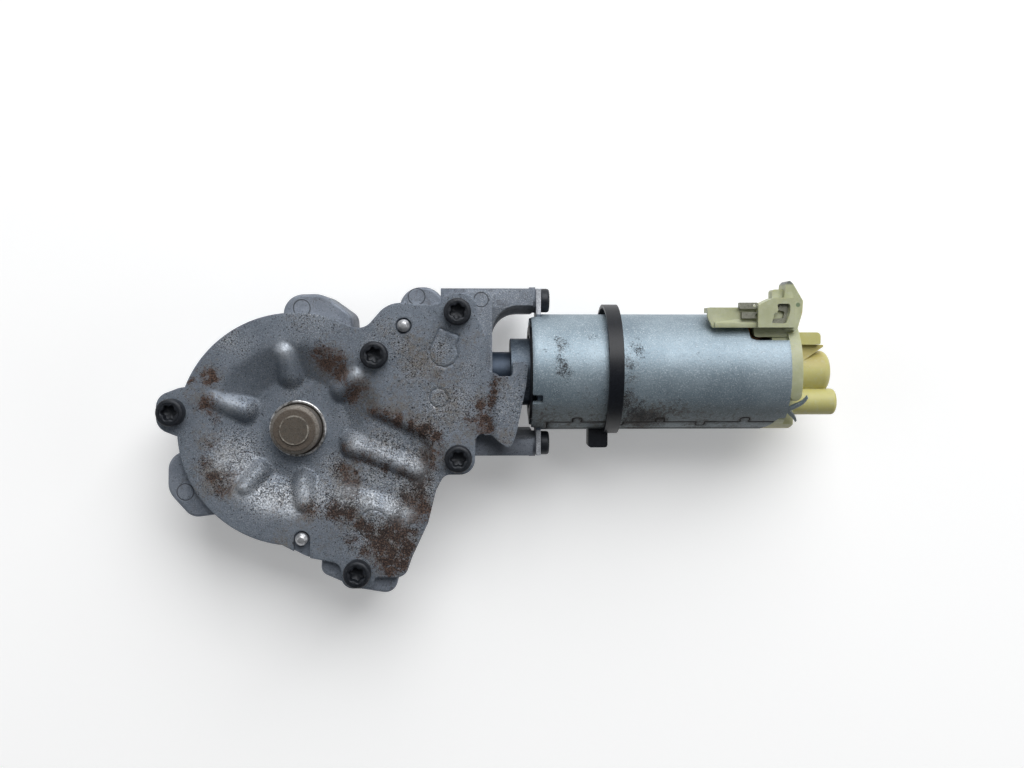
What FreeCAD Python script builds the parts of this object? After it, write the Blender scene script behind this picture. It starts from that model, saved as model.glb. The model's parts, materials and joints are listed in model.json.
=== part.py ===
import FreeCAD, Part
import math
import os

# Seat adjustment motor: worm gearbox in a cast housing with a stamped cover, and a canned motor.
# Millimetres. The origin is on the output shaft's axis, in the plane of the rear mounting pads.
# +Z points at the cover, +X runs along the motor, and the motor's axis lies on the +Y side.

Vec = FreeCAD.Vector

# Shafts and gears
motor_z = 15.0                    # motor axis above the mounting pads
worm_module = 1.0
wheel_teeth = 26
worm_pitch_r = 5.0
worm_start = 31.0
worm_end = 43.0
worm_hub = 3.0
thread_steps = 12                 # straight sections in one turn of the worm's thread
worm_core_r = worm_pitch_r - 1.25 * worm_module
worm_backlash = 0.22
wheel_width = 8.0
spur_module = 1.5
pinion_teeth = 10
gear_teeth = 38
spur_backlash = 0.2
tooth_shift = 0.4                 # pinion teeth grow and gear teeth shrink by this many modules
gear_width = 6.0
gear_bottom = 4.0
drive_module = 2.0
drive_teeth = 9
drive_width = 6.0
drive_top = -2.0
web_rim = 6.0                     # the output gear's rim, from the teeth's tips to its thinner web
web_depth = 1.6
web_hub = 1.5                     # from the hub to the thinner web
pressure_angle = math.radians(20)
running_gap = 0.05                # radial clearance of a running fit
end_gap = 0.2                     # axial clearance beside a turning piece

wheel_pitch_r = worm_module * wheel_teeth / 2
motor_y = wheel_pitch_r + worm_pitch_r
pinion_pitch_r = spur_module * pinion_teeth / 2
gear_pitch_r = spur_module * gear_teeth / 2
axle_x = pinion_pitch_r + gear_pitch_r
wheel_tip_r = wheel_pitch_r + worm_module
gear_tip_r = gear_pitch_r + spur_module * (1 - tooth_shift)
worm_tip_r = worm_pitch_r + worm_module

# Cover plate
plate_thick = 2.0
plate_top = 27.0
plate_bottom = plate_top - plate_thick
over_plate = plate_top + 5.0      # past everything that the cover's cuts pass through
plate_r = 37.1
dish_edge_r = 27.8                # where the dish's wall would meet the flat, before it is rounded
dish_floor_r = 16.4
dish_foot = 1.6                   # radius of the press at the dish's foot
dish_rim = 9.0                    # and at its rim
dish_join_r = 33.1                # the pressed dish joins the flat sheet here
dish_depth = 6.0
valley_depth = 3.0
valley_slope = 4.0                # run of the valley's side walls in the plan view
valley_room = 0.6                 # between the pressed valley and the casting, beside it
valley_gap = 0.4                  # and below it
rib_height = 3.0                  # how far the dish's pressed ribs stand above the line between their ends
long_rib_height = 2.4
mark_depth = 0.35
mark_line = 0.4
tongue_lift = 1.4
tongue_bend = 2.2                 # length of the step that lifts the tongue
tongue_start = 60.0
tongue_step = (0.6, 0.7)          # the step's top is this much shorter at its two ends

# Fasteners
screw_r = 2.5
screw_length = 12.0
head_r = 4.35
head_height = 4.2
head_bevel = 0.45
socket_r = 2.3
socket_waist = 0.74               # the star's inner corners, as a share of its radius
socket_depth = 2.4
motor_screw_head_r = 3.9
motor_screw_head_height = 3.0
pin_r = 2.0
pin_stand = 1.9
pin_length = 9.0
pin_bevel = 1.0
slot_reach = 8.0                  # the second pin's hole is a slot that leaves the cover this far out
motor_screw_length = 11.5
screw_places = [(-38.5, 5.7), (25.2, 23.7), (51.5, 37.4), (51.7, -9.3), (19.5, -45.8)]
pin_places = [(34.4, 33.0), (1.8, -34.9)]

# Output shaft
shaft_front_r = 7.8
shaft_seat_r = 8.4
shaft_rear_r = 9.0
shaft_end = 29.0
shaft_chamfer = 1.3
shaft_neck = 2.2                  # round neck between the gear seat and the front journal
shaft_disc_r = 4.65
shaft_disc_height = 0.6
seat_flat = 7.4                   # distance from the axis to each flat of the gear seat
hub_r = 12.0
hub_top = 15.5
collar_r = 9.15
collar_top = 22.0
collar_flange_r = 11.5
collar_flange_thick = 1.0
rear_bush_r = 11.0

# Intermediate axle
axle_r = 3.0
pinion_hub_r = 6.0
pinion_flat = 5.2
axle_bottom = 1.6
axle_top = plate_top - valley_depth - plate_thick - valley_gap / 2

# Can, and the screws beside it
can_r = 19.0
can_wall = 1.6
can_screw_gap = 0.6               # from the can to the heads of the screws beside it
motor_screw_off = can_r + can_screw_gap + motor_screw_head_r

# Housing
house_inset = 0.6                 # the cover stands past the casting by this much
house_bottom = 1.0
floor_top = 3.2
gear_gap = 1.0
gear_cavity_r = gear_tip_r + gear_gap
wheel_gap = 0.8
wheel_cavity_r = wheel_tip_r + wheel_gap
rear_boss_r = 14.0
rear_boss_bottom = -1.5
ear_top = 24.2
ear_round = 1.0
neck_x = 62.6                     # outer face of the wall that the motor plugs into
arm_start = 46.0
arm_end = 75.9
arm_edge = 3.7                    # from the screws' axes to the arms' outer faces
arm_half = motor_screw_off + arm_edge
arm_gap = 0.35                    # from the can to the arms' inner faces
arm_inner = can_r + arm_gap
arm_bottom = 0.4
arm_top = 20.5
arm_boss_r = 4.4                  # raised seats that the motor's ears are screwed to
arm_boss_height = 1.0
flank_outer = 21.0                # the slope from the arms' tops down to the pocket
flank_inner = 9.0
flank_drop = 2.4
pocket_r = 13.3
pocket_flare = 2.4                # the pocket widens by this much on each side, up to the arms' tops
pocket_flare_depth = 8.0
tunnel_r = 6.7
mount_hole_r = 2.5                # tapped right through the ears, under the cover
mount_places = [(4.2, 33.5), (41.0, 35.8), (-30.0, -15.6)]

# Motor
can_start = 75.2
can_end = 157.2
plate_x = arm_end + arm_boss_height   # front face of the motor's end plate
plate_t = 1.6
trim_room = 1.5                   # blocks that cut or trim start and end this far past the gearbox
beyond = plate_x + plate_t + trim_room
ear_half = 5.6                    # half the width of the end plate's ears
nose_gap = 0.6                    # round the shaft, inside the end plate's nose
screw_clear = 0.1
ear_clear = 0.3                   # round the ears, in the can's slots
notch_length = 3.3                # the notch in the can's rim
notch_width = 3.0
notch_turn = 26.0
cup_r = 11.0
cup_start = 68.6
nose_r = 6.6
nose_start = 58.0
bearing_r = 9.4
bearing_width = 5.0
bearing_x = 69.8
inner_race_r = 5.5
outer_race_r = 7.9
shield_thick = 0.4
shield_gap = 0.2                  # between each shield and the inner ring, and from the ring's face
rotor_shaft_r = 4.0
worm_shaft_r = 2.4
worm_end_r = 1.9
bush_r = 3.2
bush_start = 27.3
bush_end = 30.3
core_r = 13.0
core_start = 96.0
core_end = 134.0
core_slots = 10
slot_width = 2.2
slot_depth = 5.5
wire_gap = 0.1                    # clearance of the copper in its slot
wire_sink = 1.2                   # from the core's rim down to the copper
coil_sink = 0.8
coil_reach = 5.0
coil_bevel = 2.0
magnet_gap = 0.5
magnet_half_gap = 6.0
magnet_width = 26.0
brush_reach = 4.2
comm_r = 6.0
comm_start = 143.0
comm_end = 152.0
comm_slot = 0.5
comm_slot_depth = 1.1
comm_riser = 1.5                  # the end of the bars that the wires are joined to
brush_x = 148.3                   # middle of the brushes along the commutator
brush_half = 2.35
tube_wall = 0.8
tube_gap = 0.05                   # round the brush in its tube
tube_inset = 2.4                  # from the can's inner wall to the tube's outer end
tube_lift = 1.2                   # from the commutator to the tube
brush_flat = 1.2                  # how much less tall than wide a brush is
spring_size = (3.2, 2.4)          # width and height of the springs
spring_wire = 0.4
board_gap = 1.6                   # from the brush plate to the commutator
board_thick = 1.8
board_bore_gap = 1.0
foot_reach = (9.0, 14.0)          # where the brush plate's feet carry the tubes
tail_r = 2.5
rear_bush_x = 161.5
rear_bush_length = 6.5
rear_bush_out = 4.5
bush_entry = 8.0                  # length of the bore that leads to the rear bush
tail_gap = 0.8                    # round and behind the shaft's tail

# End cap and connector
flange_x = 157.2
flange_t = 3.6
flange_r = 18.9
flange_notch_y = 9.0              # the flange ends here on the cover's side, above the staking prongs
plug_length = 5.0
plug_gap = 0.1                    # round what sits in the can
plug_wall = 2.0
dome_r = 7.0
dome_end = 174.2
dome_round = 2.6
boss_r = 4.3
boss_end = 175.6
boss_y = 8.2
boss_z = 19.0
boss_round = 1.2
gusset = [(flange_x + 1, 27.2, 0), (172.2, 26.9, 0.4), (flange_x + flange_t, 19.0, 0)]
gusset_low = 12.0
gusset_high = 21.0
upper_block_low = 9.0
upper_block_high = 23.0
upper_block = [(flange_x, 27.0, 0), (169.8, 27.0, 0.6), (169.8, 31.0, 1.4), (flange_x, 31.0, 0)]
cap_window = [(144.7, 29.0, 1.4), (144.7, 60.0, 0), (can_end + 1, 60.0, 0), (can_end + 1, 28.4, 0),
              (146.6, 28.4, 1.4)]
cap_window_bottom = 22.0
lug_corners = [(151.5, -2.0, 0), (151.5, -0.6, 0.5), (155.0, 3.2, 1.0), (can_end + 2, 3.2, 0),
               (can_end + 2, -2.0, 0)]
lug_bottom = 5.0
prongs = [(36.0, 7.6), (-48.0, 6.0)]   # lean and length of the two halves of the staked tab
prong_turn = 40.8
prong_thick = 1.3
prong_height = 1.2
deck_start = 131.0
deck_low_y = 32.4
deck_high_y = 38.8
deck_bottom = 28.6
deck_thick = 1.4
deck_top = deck_bottom + deck_thick
deck_gap = 0.25                   # from the can to the skirt that hangs beside it
skirt_start = deck_start + 0.6
ledge_start = deck_start + 2.2
amber_drop = 4.6                  # how far the connector's lower blocks reach below the deck
back_drop = 4.0
tab_drop = 1.0
deck_corners = [(deck_start, deck_high_y, 0.8), (deck_start, 35.8, 0), (deck_start + 1.6, deck_low_y, 0.6),
                (flange_x + 1, deck_low_y, 0), (flange_x + 1, deck_high_y, 0)]
skirt_drop = 6.6
ledge_width = 1.6
ledge_height = 1.2
amber_block = [(146.4, 29.4, 1.0), (flange_x + 1, 29.4, 0), (flange_x + 1, 34.0, 0), (146.4, 34.0, 0)]
back_top = deck_top + 3.2
back_corners = [(146.4, deck_low_y, 0), (146.4, 39.4, 0.6), (151.4, 41.8, 0.6), (flange_x + 1, 41.8, 0),
                (flange_x + 1, deck_low_y, 0)]
tab_corners = [(152.0, 41.0, 0), (151.9, 44.6, 1.0), (155.9, 44.6, 1.0), (156.0, 41.0, 0)]
fin_corners = [(155.0, 40.0, 0), (155.6, 46.2, 0.5), (156.8, 47.4, 0.5), (158.0, 46.2, 0.6),
               (161.2, 40.9, 1.2), (161.0, 37.2, 1.2), (159.4, 31.6, 0.4), (156.0, 31.6, 0)]
fin_bottom = 24.0
fin_top = deck_top + 1.4
contact_window = [(150.8, 33.7, 0.5), (151.4, 36.6, 0.6), (152.8, 37.6, 0.6), (152.4, 39.9, 0.7),
                  (156.6, 39.9, 0.7), (156.6, 37.4, 0.6), (155.4, 33.7, 0.5)]
contact_strip = [(151.6, 33.8, 0), (151.6, 35.2, 0.3), (154.8, 35.4, 0.3), (155.2, 37.4, 0.3),
                 (153.2, 38.0, 0.3), (153.2, 39.7, 0.5), (156.3, 39.7, 0.5), (156.3, 37.4, 0.4),
                 (155.4, 33.8, 0)]
contact_bottom = deck_top + 0.6
contact_height = 1.0
blade_width = 2.0
blade_thick = 0.8
blade_length = 6.0
blade_lift = 0.7
blade_root = 1.0                  # length of the foot that each blade stands on
blade_sink = 0.8
blade_hole_r = 0.5
blade_hole_in = 1.2
blade_round = 0.7
blade_places = [(140.9, 39.3), (141.6, 36.3)]

# Cable tie
tie_x = 101.3
tie_width = 4.7
tie_thick = 1.2
tie_slack = 1.1                   # the strap's ring is this much larger than the can
tie_clear = 0.15                  # least gap between the strap and the can, beside the lock
tie_lock_off = (-7.1, -0.7)       # the lock's two sides, from the strap's middle along the can
tie_lock_depth = 5.8
tie_lock_low = 13.0
tie_lock_high = 19.0
tie_lock_round = 1.0


# Basic solids

def disc(radius, bottom, top, x=0.0, y=0.0):
    return Part.makeCylinder(radius, top - bottom, Vec(x, y, bottom), Vec(0, 0, 1))


def ring(outer, inner, bottom, top, x=0.0, y=0.0):
    return disc(outer, bottom, top, x, y).cut(disc(inner, bottom, top, x, y))


def rod(radius, start, end, y=motor_y, z=motor_z):
    return Part.makeCylinder(radius, end - start, Vec(start, y, z), Vec(1, 0, 0))


def sleeve(outer, inner, start, end, y=motor_y, z=motor_z):
    return rod(outer, start, end, y, z).cut(rod(inner, start, end, y, z))


def block(x0, x1, y0, y1, z0, z1):
    return Part.makeBox(x1 - x0, y1 - y0, z1 - z0, Vec(x0, y0, z0))


# A block beside the motor's axis, turned about that axis; zero degrees points at the cover's side
def spoke(x0, x1, width, inner, outer, angle=0.0):
    shape = block(x0, x1, motor_y - width / 2, motor_y + width / 2, motor_z + inner, motor_z + outer)
    shape.rotate(Vec(0, motor_y, motor_z), Vec(1, 0, 0), angle)
    return shape


def fuse_all(shapes):
    whole = shapes[0].multiFuse(shapes[1:])
    return whole.removeSplitter()


def solid_only(shape):
    shape = shape.removeSplitter()
    return shape.Solids[0] if len(shape.Solids) == 1 else shape


# A closed outline whose corners (x, y, radius) are rounded, each radius limited by its sides
def rounded_face(corners):
    count = len(corners)
    cuts = []
    for i in range(count):
        before = Vec(*corners[i - 1][:2], 0)
        here = Vec(*corners[i][:2], 0)
        after = Vec(*corners[(i + 1) % count][:2], 0)
        radius = corners[i][2]
        u = (before - here).normalize()
        v = (after - here).normalize()
        half = math.acos(max(-1.0, min(1.0, u.dot(v)))) / 2
        room = 0.49 * min((before - here).Length, (after - here).Length)
        radius = min(radius, room * math.tan(half))
        if radius < 0.02:
            cuts.append((here, None, here))
            continue
        reach = radius / math.tan(half)
        middle = (u + v).normalize()
        centre = here + middle * (radius / math.sin(half))
        cuts.append((here + u * reach, centre - middle * radius, here + v * reach))
    edges = []
    for i in range(count):
        first, through, last = cuts[i]
        if through is not None:
            edges.append(Part.Arc(first, through, last).toShape())
        following = cuts[(i + 1) % count][0]
        if (following - last).Length > 1e-6:
            edges.append(Part.LineSegment(last, following).toShape())
    return Part.Face(Part.Wire(edges))


def prism(corners, bottom, top):
    face = rounded_face(corners)
    face.translate(Vec(0, 0, bottom))
    return face.extrude(Vec(0, 0, top - bottom))


def soft_prism(corners, bottom, top, radius):
    solid = prism(corners, bottom, top)
    return solid.makeFillet(radius, [e for e in solid.Edges if e.BoundBox.ZMin > top - 0.01])


# A ring turned about the Z axis from a section whose corners are (distance, height, radius)
def turned(corners):
    solid = rounded_face(corners).revolve(Vec(0, 0, 0), Vec(0, 1, 0), 360)
    solid.rotate(Vec(0, 0, 0), Vec(1, 0, 0), 90)
    return solid


# A straight-sided frustum between two copies of an outline, the upper one larger by the slope
def tapered_prism(lower, upper, bottom, top):
    low = rounded_face(lower).OuterWire
    high = rounded_face(upper).OuterWire
    low.translate(Vec(0, 0, bottom))
    high.translate(Vec(0, 0, top))
    return Part.makeLoft([low, high], True, True)


def grown(corners, amount):
    cx = sum(c[0] for c in corners) / len(corners)
    cy = sum(c[1] for c in corners) / len(corners)
    result = []
    for x, y, radius in corners:
        reach = math.hypot(x - cx, y - cy)
        k = (reach + amount) / reach
        result.append((cx + (x - cx) * k, cy + (y - cy) * k, max(0.0, radius + amount * 0.5)))
    return result


# A round-topped rib, as a press tool makes it: a capsule sunk in the sheet, between two points of
# the sheet's surface, so that it is as wide as asked where it leaves the sheet
def bead(start, end, width, height):
    radius = (width * width / 4 + height * height) / (2 * height)
    sink = Vec(0, 0, height - radius)
    a = Vec(*start) + sink
    b = Vec(*end) + sink
    along = (b - a).normalize()
    a += along * (width / 2)
    b -= along * (width / 2)
    bar = Part.makeCylinder(radius, (b - a).Length, a, along)
    return fuse_all([bar, Part.makeSphere(radius, a), Part.makeSphere(radius, b)])


# Gear teeth: each flank is an arc through three points of the involute
def gear_wire(teeth, module, backlash, shift=0.0, phase=0.0):
    pitch = teeth * module / 2
    base = pitch * math.cos(pressure_angle)
    tip = pitch + module * (1 + shift)
    root = pitch - module * (1.25 - shift)
    thick = math.pi * module / 2 + 2 * shift * module * math.tan(pressure_angle) - backlash

    def half_angle(radius):
        turn = math.acos(min(1.0, base / radius))
        return thick / 2 / pitch + math.tan(pressure_angle) - pressure_angle - (math.tan(turn) - turn)

    def point(radius, angle):
        return Vec(radius * math.cos(angle), radius * math.sin(angle), 0)

    foot = max(base, root)
    middle = (foot + tip) / 2
    step = 2 * math.pi / teeth
    wide = half_angle(foot)
    half = half_angle(middle)
    crest = half_angle(tip)
    edges = []
    for k in range(teeth):
        centre = phase + k * step
        if foot - root > 0.01:
            edges.append(Part.LineSegment(point(root, centre - wide), point(foot, centre - wide)).toShape())
        edges.append(Part.Arc(point(foot, centre - wide), point(middle, centre - half),
                              point(tip, centre - crest)).toShape())
        edges.append(Part.Arc(point(tip, centre - crest), point(tip, centre),
                              point(tip, centre + crest)).toShape())
        edges.append(Part.Arc(point(tip, centre + crest), point(middle, centre + half),
                              point(foot, centre + wide)).toShape())
        if foot - root > 0.01:
            edges.append(Part.LineSegment(point(foot, centre + wide), point(root, centre + wide)).toShape())
        edges.append(Part.Arc(point(root, centre + wide), point(root, centre + step / 2),
                              point(root, centre + step - wide)).toShape())
    return Part.Wire(edges)


def spur(teeth, module, backlash, shift, phase, bottom, width):
    face = Part.Face(gear_wire(teeth, module, backlash, shift, phase))
    face.translate(Vec(0, 0, bottom))
    return face.extrude(Vec(0, 0, width))


# Round bar with two flats, along Z
def flatted(radius, flat, bottom, top, x=0.0, y=0.0):
    keep = block(x - radius - 1, x + radius + 1, y - flat, y + flat, bottom, top)
    return disc(radius, bottom, top, x, y).common(keep)


# A screw along Z with a six-pointed socket; the head sits on z = 0 and the shank points down
def cap_screw(radius, length, cap_r, cap_height):
    head = disc(cap_r, 0, cap_height)
    head = head.makeChamfer(head_bevel, [e for e in head.Edges if e.BoundBox.ZMin > cap_height - 0.01
                                         and e.BoundBox.XLength > cap_r])
    star = []
    for k in range(12):
        reach = socket_r if k % 2 == 0 else socket_r * socket_waist
        turn = math.radians(30 * k)
        star.append((reach * math.cos(turn), reach * math.sin(turn), 0))
    head = head.cut(prism(star, cap_height - socket_depth, cap_height + 1))
    return head.fuse(disc(radius, -length, 0)).removeSplitter()


def moved(shape, offset):
    copy = shape.copy()
    copy.translate(offset)
    return copy


def mirrored(shape):
    return shape.mirror(Vec(0, motor_y, 0), Vec(0, 1, 0))


# Outlines of the cover and the casting, in the plan view

plate_right = [
    (8.0, 24.0, 0), (15.0, 33.4, 6), (21.8, 31.6, 9), (29.6, 40.6, 9), (45.0, 39.4, 6),
    (50.0, 43.6, 5), (57.2, 43.0, 5.6), (58.0, 35.0, 6), (60.9, 29.0, 5), (60.3, 19.0, 3),
    (63.6, 16.4, 1.5), (63.6, -1.9, 1.5), (57.2, -1.2, 2.5), (56.9, -14.6, 5.2), (47.2, -14.6, 3),
    (44.6, -19.5, 8), (42.0, -30.0, 4), (36.8, -41.2, 6), (34.6, -47.6, 4), (24.6, -47.4, 3),
    (24.4, -51.0, 5), (14.2, -51.0, 5.2), (14.2, -43.0, 3), (3.0, -40.8, 8), (-6.0, -36.0, 2),
    (-2.0, -20.0, 0)]
lobe_one = [(-30.0, 14.0, 0), (-36.2, 13.4, 4), (-43.6, 10.6, 5.0), (-43.7, 0.6, 5.1), (-37.2, -2.0, 3),
            (-30.0, -3.0, 0)]
ear_a = [(-4.6, 28.0, 0), (-3.6, 42.9, 6.5), (8.4, 43.2, 8), (17.6, 36.6, 4), (18.0, 28.0, 0)]
ear_b = [(32.6, 30.5, 0), (33.2, 45.4, 7), (47.4, 45.4, 7), (47.6, 30.5, 0)]
ear_c = [(-26.0, -4.0, 0), (-40.8, -8.6, 6), (-41.0, -20.0, 7), (-33.6, -28.4, 5), (-22.0, -27.0, 0)]
lobe_d = [(8.0, -36.0, 0), (7.4, -46.4, 3), (19.0, -51.6, 8), (31.0, -53.6, 4), (33.4, -44.0, 3),
          (30.0, -38.0, 0)]
pad = [(46.6, 30.0, 0), (46.6, 42.4, 1.2), (62.5, 44.4, 3), (neck_x, 18.0, 0), (46.6, 18.0, 0)]
valley = [(8.0, 7.0, 0), (18.0, 10.2, 6), (44.4, -2.2, 7), (43.6, -16.0, 7), (37.6, -30.2, 7),
          (8.0, -20.6, 6), (2.0, -16.0, 0)]
long_rib = ((15.2, -4.3), (41.0, -14.4))
long_rib_width = 7.0
rib_end_z = plate_top - 1.2       # the outer ends of the dish's ribs, where they leave the sheet
# pressed ribs of the dish: direction in degrees, inner end, outer end, width
ribs = [(98, 13.0, 28.0, 7.6), (42, 14.6, 28.4, 7.4), (160, 13.6, 31.0, 8.2), (228, 14.6, 27.6, 6.8),
        (276, 13.0, 27.0, 7.2)]
tongue = [(tongue_start, 16.4, 0), (69.2, 16.4, 1), (69.2, 21.6, 0.8), (74.1, 21.2, 1.2), (73.3, 13.7, 8),
          (70.3, -1.0, 10), (68.3, -6.6, 1.6), (64.9, -4.2, 2), (62.4, -1.9, 1), (tongue_start, -1.9, 0)]
tongue_root_x = 62.4
tongue_root_y = (-1.95, 16.45)
round_marks = [(45.5, 9.9, 3.0), (24.4, -30.7, 4.8)]
key_mark = (47.2, 24.4, 4.7)
key_neck = [(43.6, 24.0), (43.6, 28.8), (45.7, 32.4), (52.1, 29.8), (51.4, 24.0)]
pin_hole_gap = 0.6
screw_hole_gap = 0.25


# Cover plate: a flat sheet with a dish, a valley that runs off it, pressed ribs and a tongue

def make_dish():
    floor = plate_top - dish_depth
    lean = math.atan2(dish_depth, dish_edge_r - dish_floor_r)
    under = plate_thick * math.tan(lean / 2)
    return turned([(collar_r, floor, 0), (dish_floor_r, floor, dish_foot),
                   (dish_edge_r, plate_top, dish_rim), (dish_join_r, plate_top, 0),
                   (dish_join_r, plate_bottom, 0), (dish_edge_r + under, plate_bottom, dish_rim),
                   (dish_floor_r + under, floor - plate_thick, dish_foot + plate_thick),
                   (collar_r, floor - plate_thick, 0)])


def make_tongue():
    low_end = tongue_root_x + tongue_bend
    before, after = tongue_step
    profile = [(tongue_start, plate_bottom), (tongue_root_x, plate_bottom),
               (low_end, plate_bottom + tongue_lift), (beyond, plate_bottom + tongue_lift),
               (beyond, plate_top + tongue_lift),
               (low_end - after, plate_top + tongue_lift), (tongue_root_x - before, plate_top),
               (tongue_start, plate_top), (tongue_start, plate_bottom)]
    strip = Part.Face(Part.makePolygon([Vec(x, -beyond, z) for x, z in profile]))
    return strip.extrude(Vec(0, 2 * beyond, 0)).common(prism(tongue, plate_bottom - 1, over_plate))


# The line round the key mark: its circle and neck less the same outline drawn in by the line's width
def key_groove():
    x, y, radius = key_mark
    low = plate_top - mark_depth
    outer = disc(radius, low, plate_top, x, y).fuse(prism([(a, b, 0) for a, b in key_neck], low, plate_top))
    inner_neck = grown([(a, b, 0) for a, b in key_neck], -mark_line)
    inner = disc(radius - mark_line, low, plate_top, x, y).fuse(prism(inner_neck, low, plate_top))
    return outer.cut(inner)


# The ribs keep only what stands above the middle of the sheet
def make_beads(dish_floor, valley_floor):
    half = plate_thick / 2
    below_dish = turned([(0, 0, 0), (0, dish_floor - half, 0), (dish_floor_r, dish_floor - half, dish_foot),
                         (dish_edge_r, plate_top - half, dish_rim), (plate_r, plate_top - half, 0),
                         (plate_r, 0, 0)])
    beads = []
    for angle, inner, outer, width in ribs:
        turn = Vec(math.cos(math.radians(angle)), math.sin(math.radians(angle)), 0)
        rib = bead(turn * inner + Vec(0, 0, dish_floor), turn * outer + Vec(0, 0, rib_end_z),
                   width, rib_height)
        beads.append(rib.cut(below_dish))
    start, end = long_rib
    rib = bead((*start, valley_floor), (*end, valley_floor), long_rib_width, long_rib_height)
    beads.append(rib.cut(block(-beyond, beyond, -beyond, beyond, 0, valley_floor - half)))
    return beads


def make_cover():
    dish_floor = plate_top - dish_depth
    valley_floor = plate_top - valley_depth
    flat = fuse_all([disc(plate_r, plate_bottom, plate_top), prism(plate_right, plate_bottom, plate_top),
                     prism(lobe_one, plate_bottom, plate_top)])
    body = flat.cut(disc(dish_join_r, plate_bottom, plate_top)).fuse(make_dish()).removeSplitter()
    valley_low = grown(valley, -valley_slope)
    under_valley = tapered_prism(valley_low, valley, valley_floor - plate_thick, plate_bottom)
    under_valley = under_valley.cut(disc(dish_floor_r + 2, 0, plate_top))
    body = body.fuse(under_valley).cut(tapered_prism(valley_low, valley, valley_floor, plate_top))
    body = fuse_all([body] + make_beads(dish_floor, valley_floor))
    body = body.cut(block(tongue_root_x, beyond, *tongue_root_y, plate_bottom - 1, over_plate))
    body = body.fuse(make_tongue())
    for x, y, radius in round_marks:
        body = body.cut(ring(radius, radius - mark_line, plate_top - mark_depth, plate_top, x, y))
    body = body.cut(key_groove())
    body = body.cut(disc(collar_r, 0, over_plate))
    for x, y in screw_places:
        body = body.cut(disc(screw_r + screw_hole_gap, 0, over_plate, x, y))
    round_pin, slot_pin = pin_places
    hole = pin_r + pin_hole_gap
    body = body.cut(disc(hole, 0, over_plate, *round_pin))
    x, y = slot_pin
    slot_end = y - slot_reach
    body = body.cut(prism([(x - hole, slot_end, 0), (x + hole, slot_end, 0), (x + hole, y + hole, hole),
                           (x - hole, y + hole, hole)], 0, over_plate))
    return solid_only(body)


# Cast housing

def make_housing():
    low = motor_y - arm_half
    high = motor_y + arm_half
    shell = [disc(plate_r - house_inset, house_bottom, plate_bottom),
             prism(plate_right, house_bottom, plate_bottom).common(
                 block(-beyond, neck_x, -beyond, beyond, house_bottom, plate_bottom)),
             prism(lobe_one, house_bottom, plate_bottom),
             prism(pad, house_bottom, plate_bottom),
             disc(rear_boss_r, rear_boss_bottom, house_bottom),
             block(arm_start, arm_end, low, high, arm_bottom, arm_top)]
    for ear in (ear_a, ear_b, ear_c, lobe_d):
        shell.append(soft_prism(ear, 0, ear_top, ear_round))
    for side in (-1, 1):
        shell.append(rod(arm_boss_r, arm_end - 1, plate_x, motor_y + side * motor_screw_off))
    body = fuse_all(shell)
    for side in (-1, 1):
        outer = motor_y + side * flank_outer
        inner = motor_y + side * flank_inner
        slope = Part.Face(Part.makePolygon([
            Vec(neck_x, outer, arm_top), Vec(neck_x, inner, arm_top - flank_drop),
            Vec(neck_x, inner, arm_top + 1), Vec(neck_x, outer, arm_top + 1),
            Vec(neck_x, outer, arm_top)]))
        body = body.cut(slope.extrude(Vec(arm_end, 0, 0)))
    pocket, wide_pocket = (
        [(neck_x, motor_y - reach, pocket_r), (neck_x, motor_y + reach, pocket_r),
         (beyond, motor_y + reach, 0), (beyond, motor_y - reach, 0)]
        for reach in (arm_inner, arm_inner + pocket_flare))
    body = body.cut(prism(pocket, -1, plate_top))
    body = body.cut(tapered_prism(pocket, wide_pocket, arm_top - pocket_flare_depth, arm_top))
    body = body.cut(disc(gear_cavity_r, floor_top, plate_top))
    body = body.cut(disc(wheel_cavity_r, floor_top, plate_top, axle_x, 0))
    low = axle_top - valley_gap / 2
    body = body.cut(prism(grown(valley, valley_room), low, plate_top))
    body = body.cut(rod(tunnel_r, bush_end, neck_x + 1))
    body = body.cut(rod(bush_r, bush_start, bush_end))
    body = body.cut(disc(rear_bush_r, rear_boss_bottom, floor_top))
    body = body.cut(disc(axle_r, axle_bottom, floor_top, axle_x, 0))
    for x, y in screw_places:
        body = body.cut(disc(screw_r, plate_top - screw_length - 1, plate_top, x, y))
    for x, y in pin_places:
        body = body.cut(disc(pin_r, plate_top + pin_stand - pin_length, plate_top, x, y))
    for side in (-1, 1):
        body = body.cut(rod(screw_r, arm_end - motor_screw_length, arm_end + arm_boss_height,
                            motor_y + side * motor_screw_off))
    for x, y in mount_places:
        body = body.cut(disc(mount_hole_r, -1, plate_top, x, y))
    return solid_only(body)


# Motor's front end plate with its bearing cup, nose and two ears
def make_end_plate():
    end = plate_x + plate_t
    body = fuse_all([rod(can_r - can_wall, plate_x, end),
                     block(plate_x, end, motor_y - arm_half, motor_y + arm_half,
                           motor_z - ear_half, motor_z + ear_half),
                     rod(cup_r, cup_start, plate_x), rod(nose_r, nose_start, cup_start)])
    body = body.cut(rod(bearing_r, bearing_x, end))
    body = body.cut(rod(rotor_shaft_r + nose_gap, nose_start, plate_x))
    for side in (-1, 1):
        body = body.cut(rod(screw_r + screw_clear, plate_x, end, motor_y + side * motor_screw_off))
    return solid_only(body)


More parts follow.
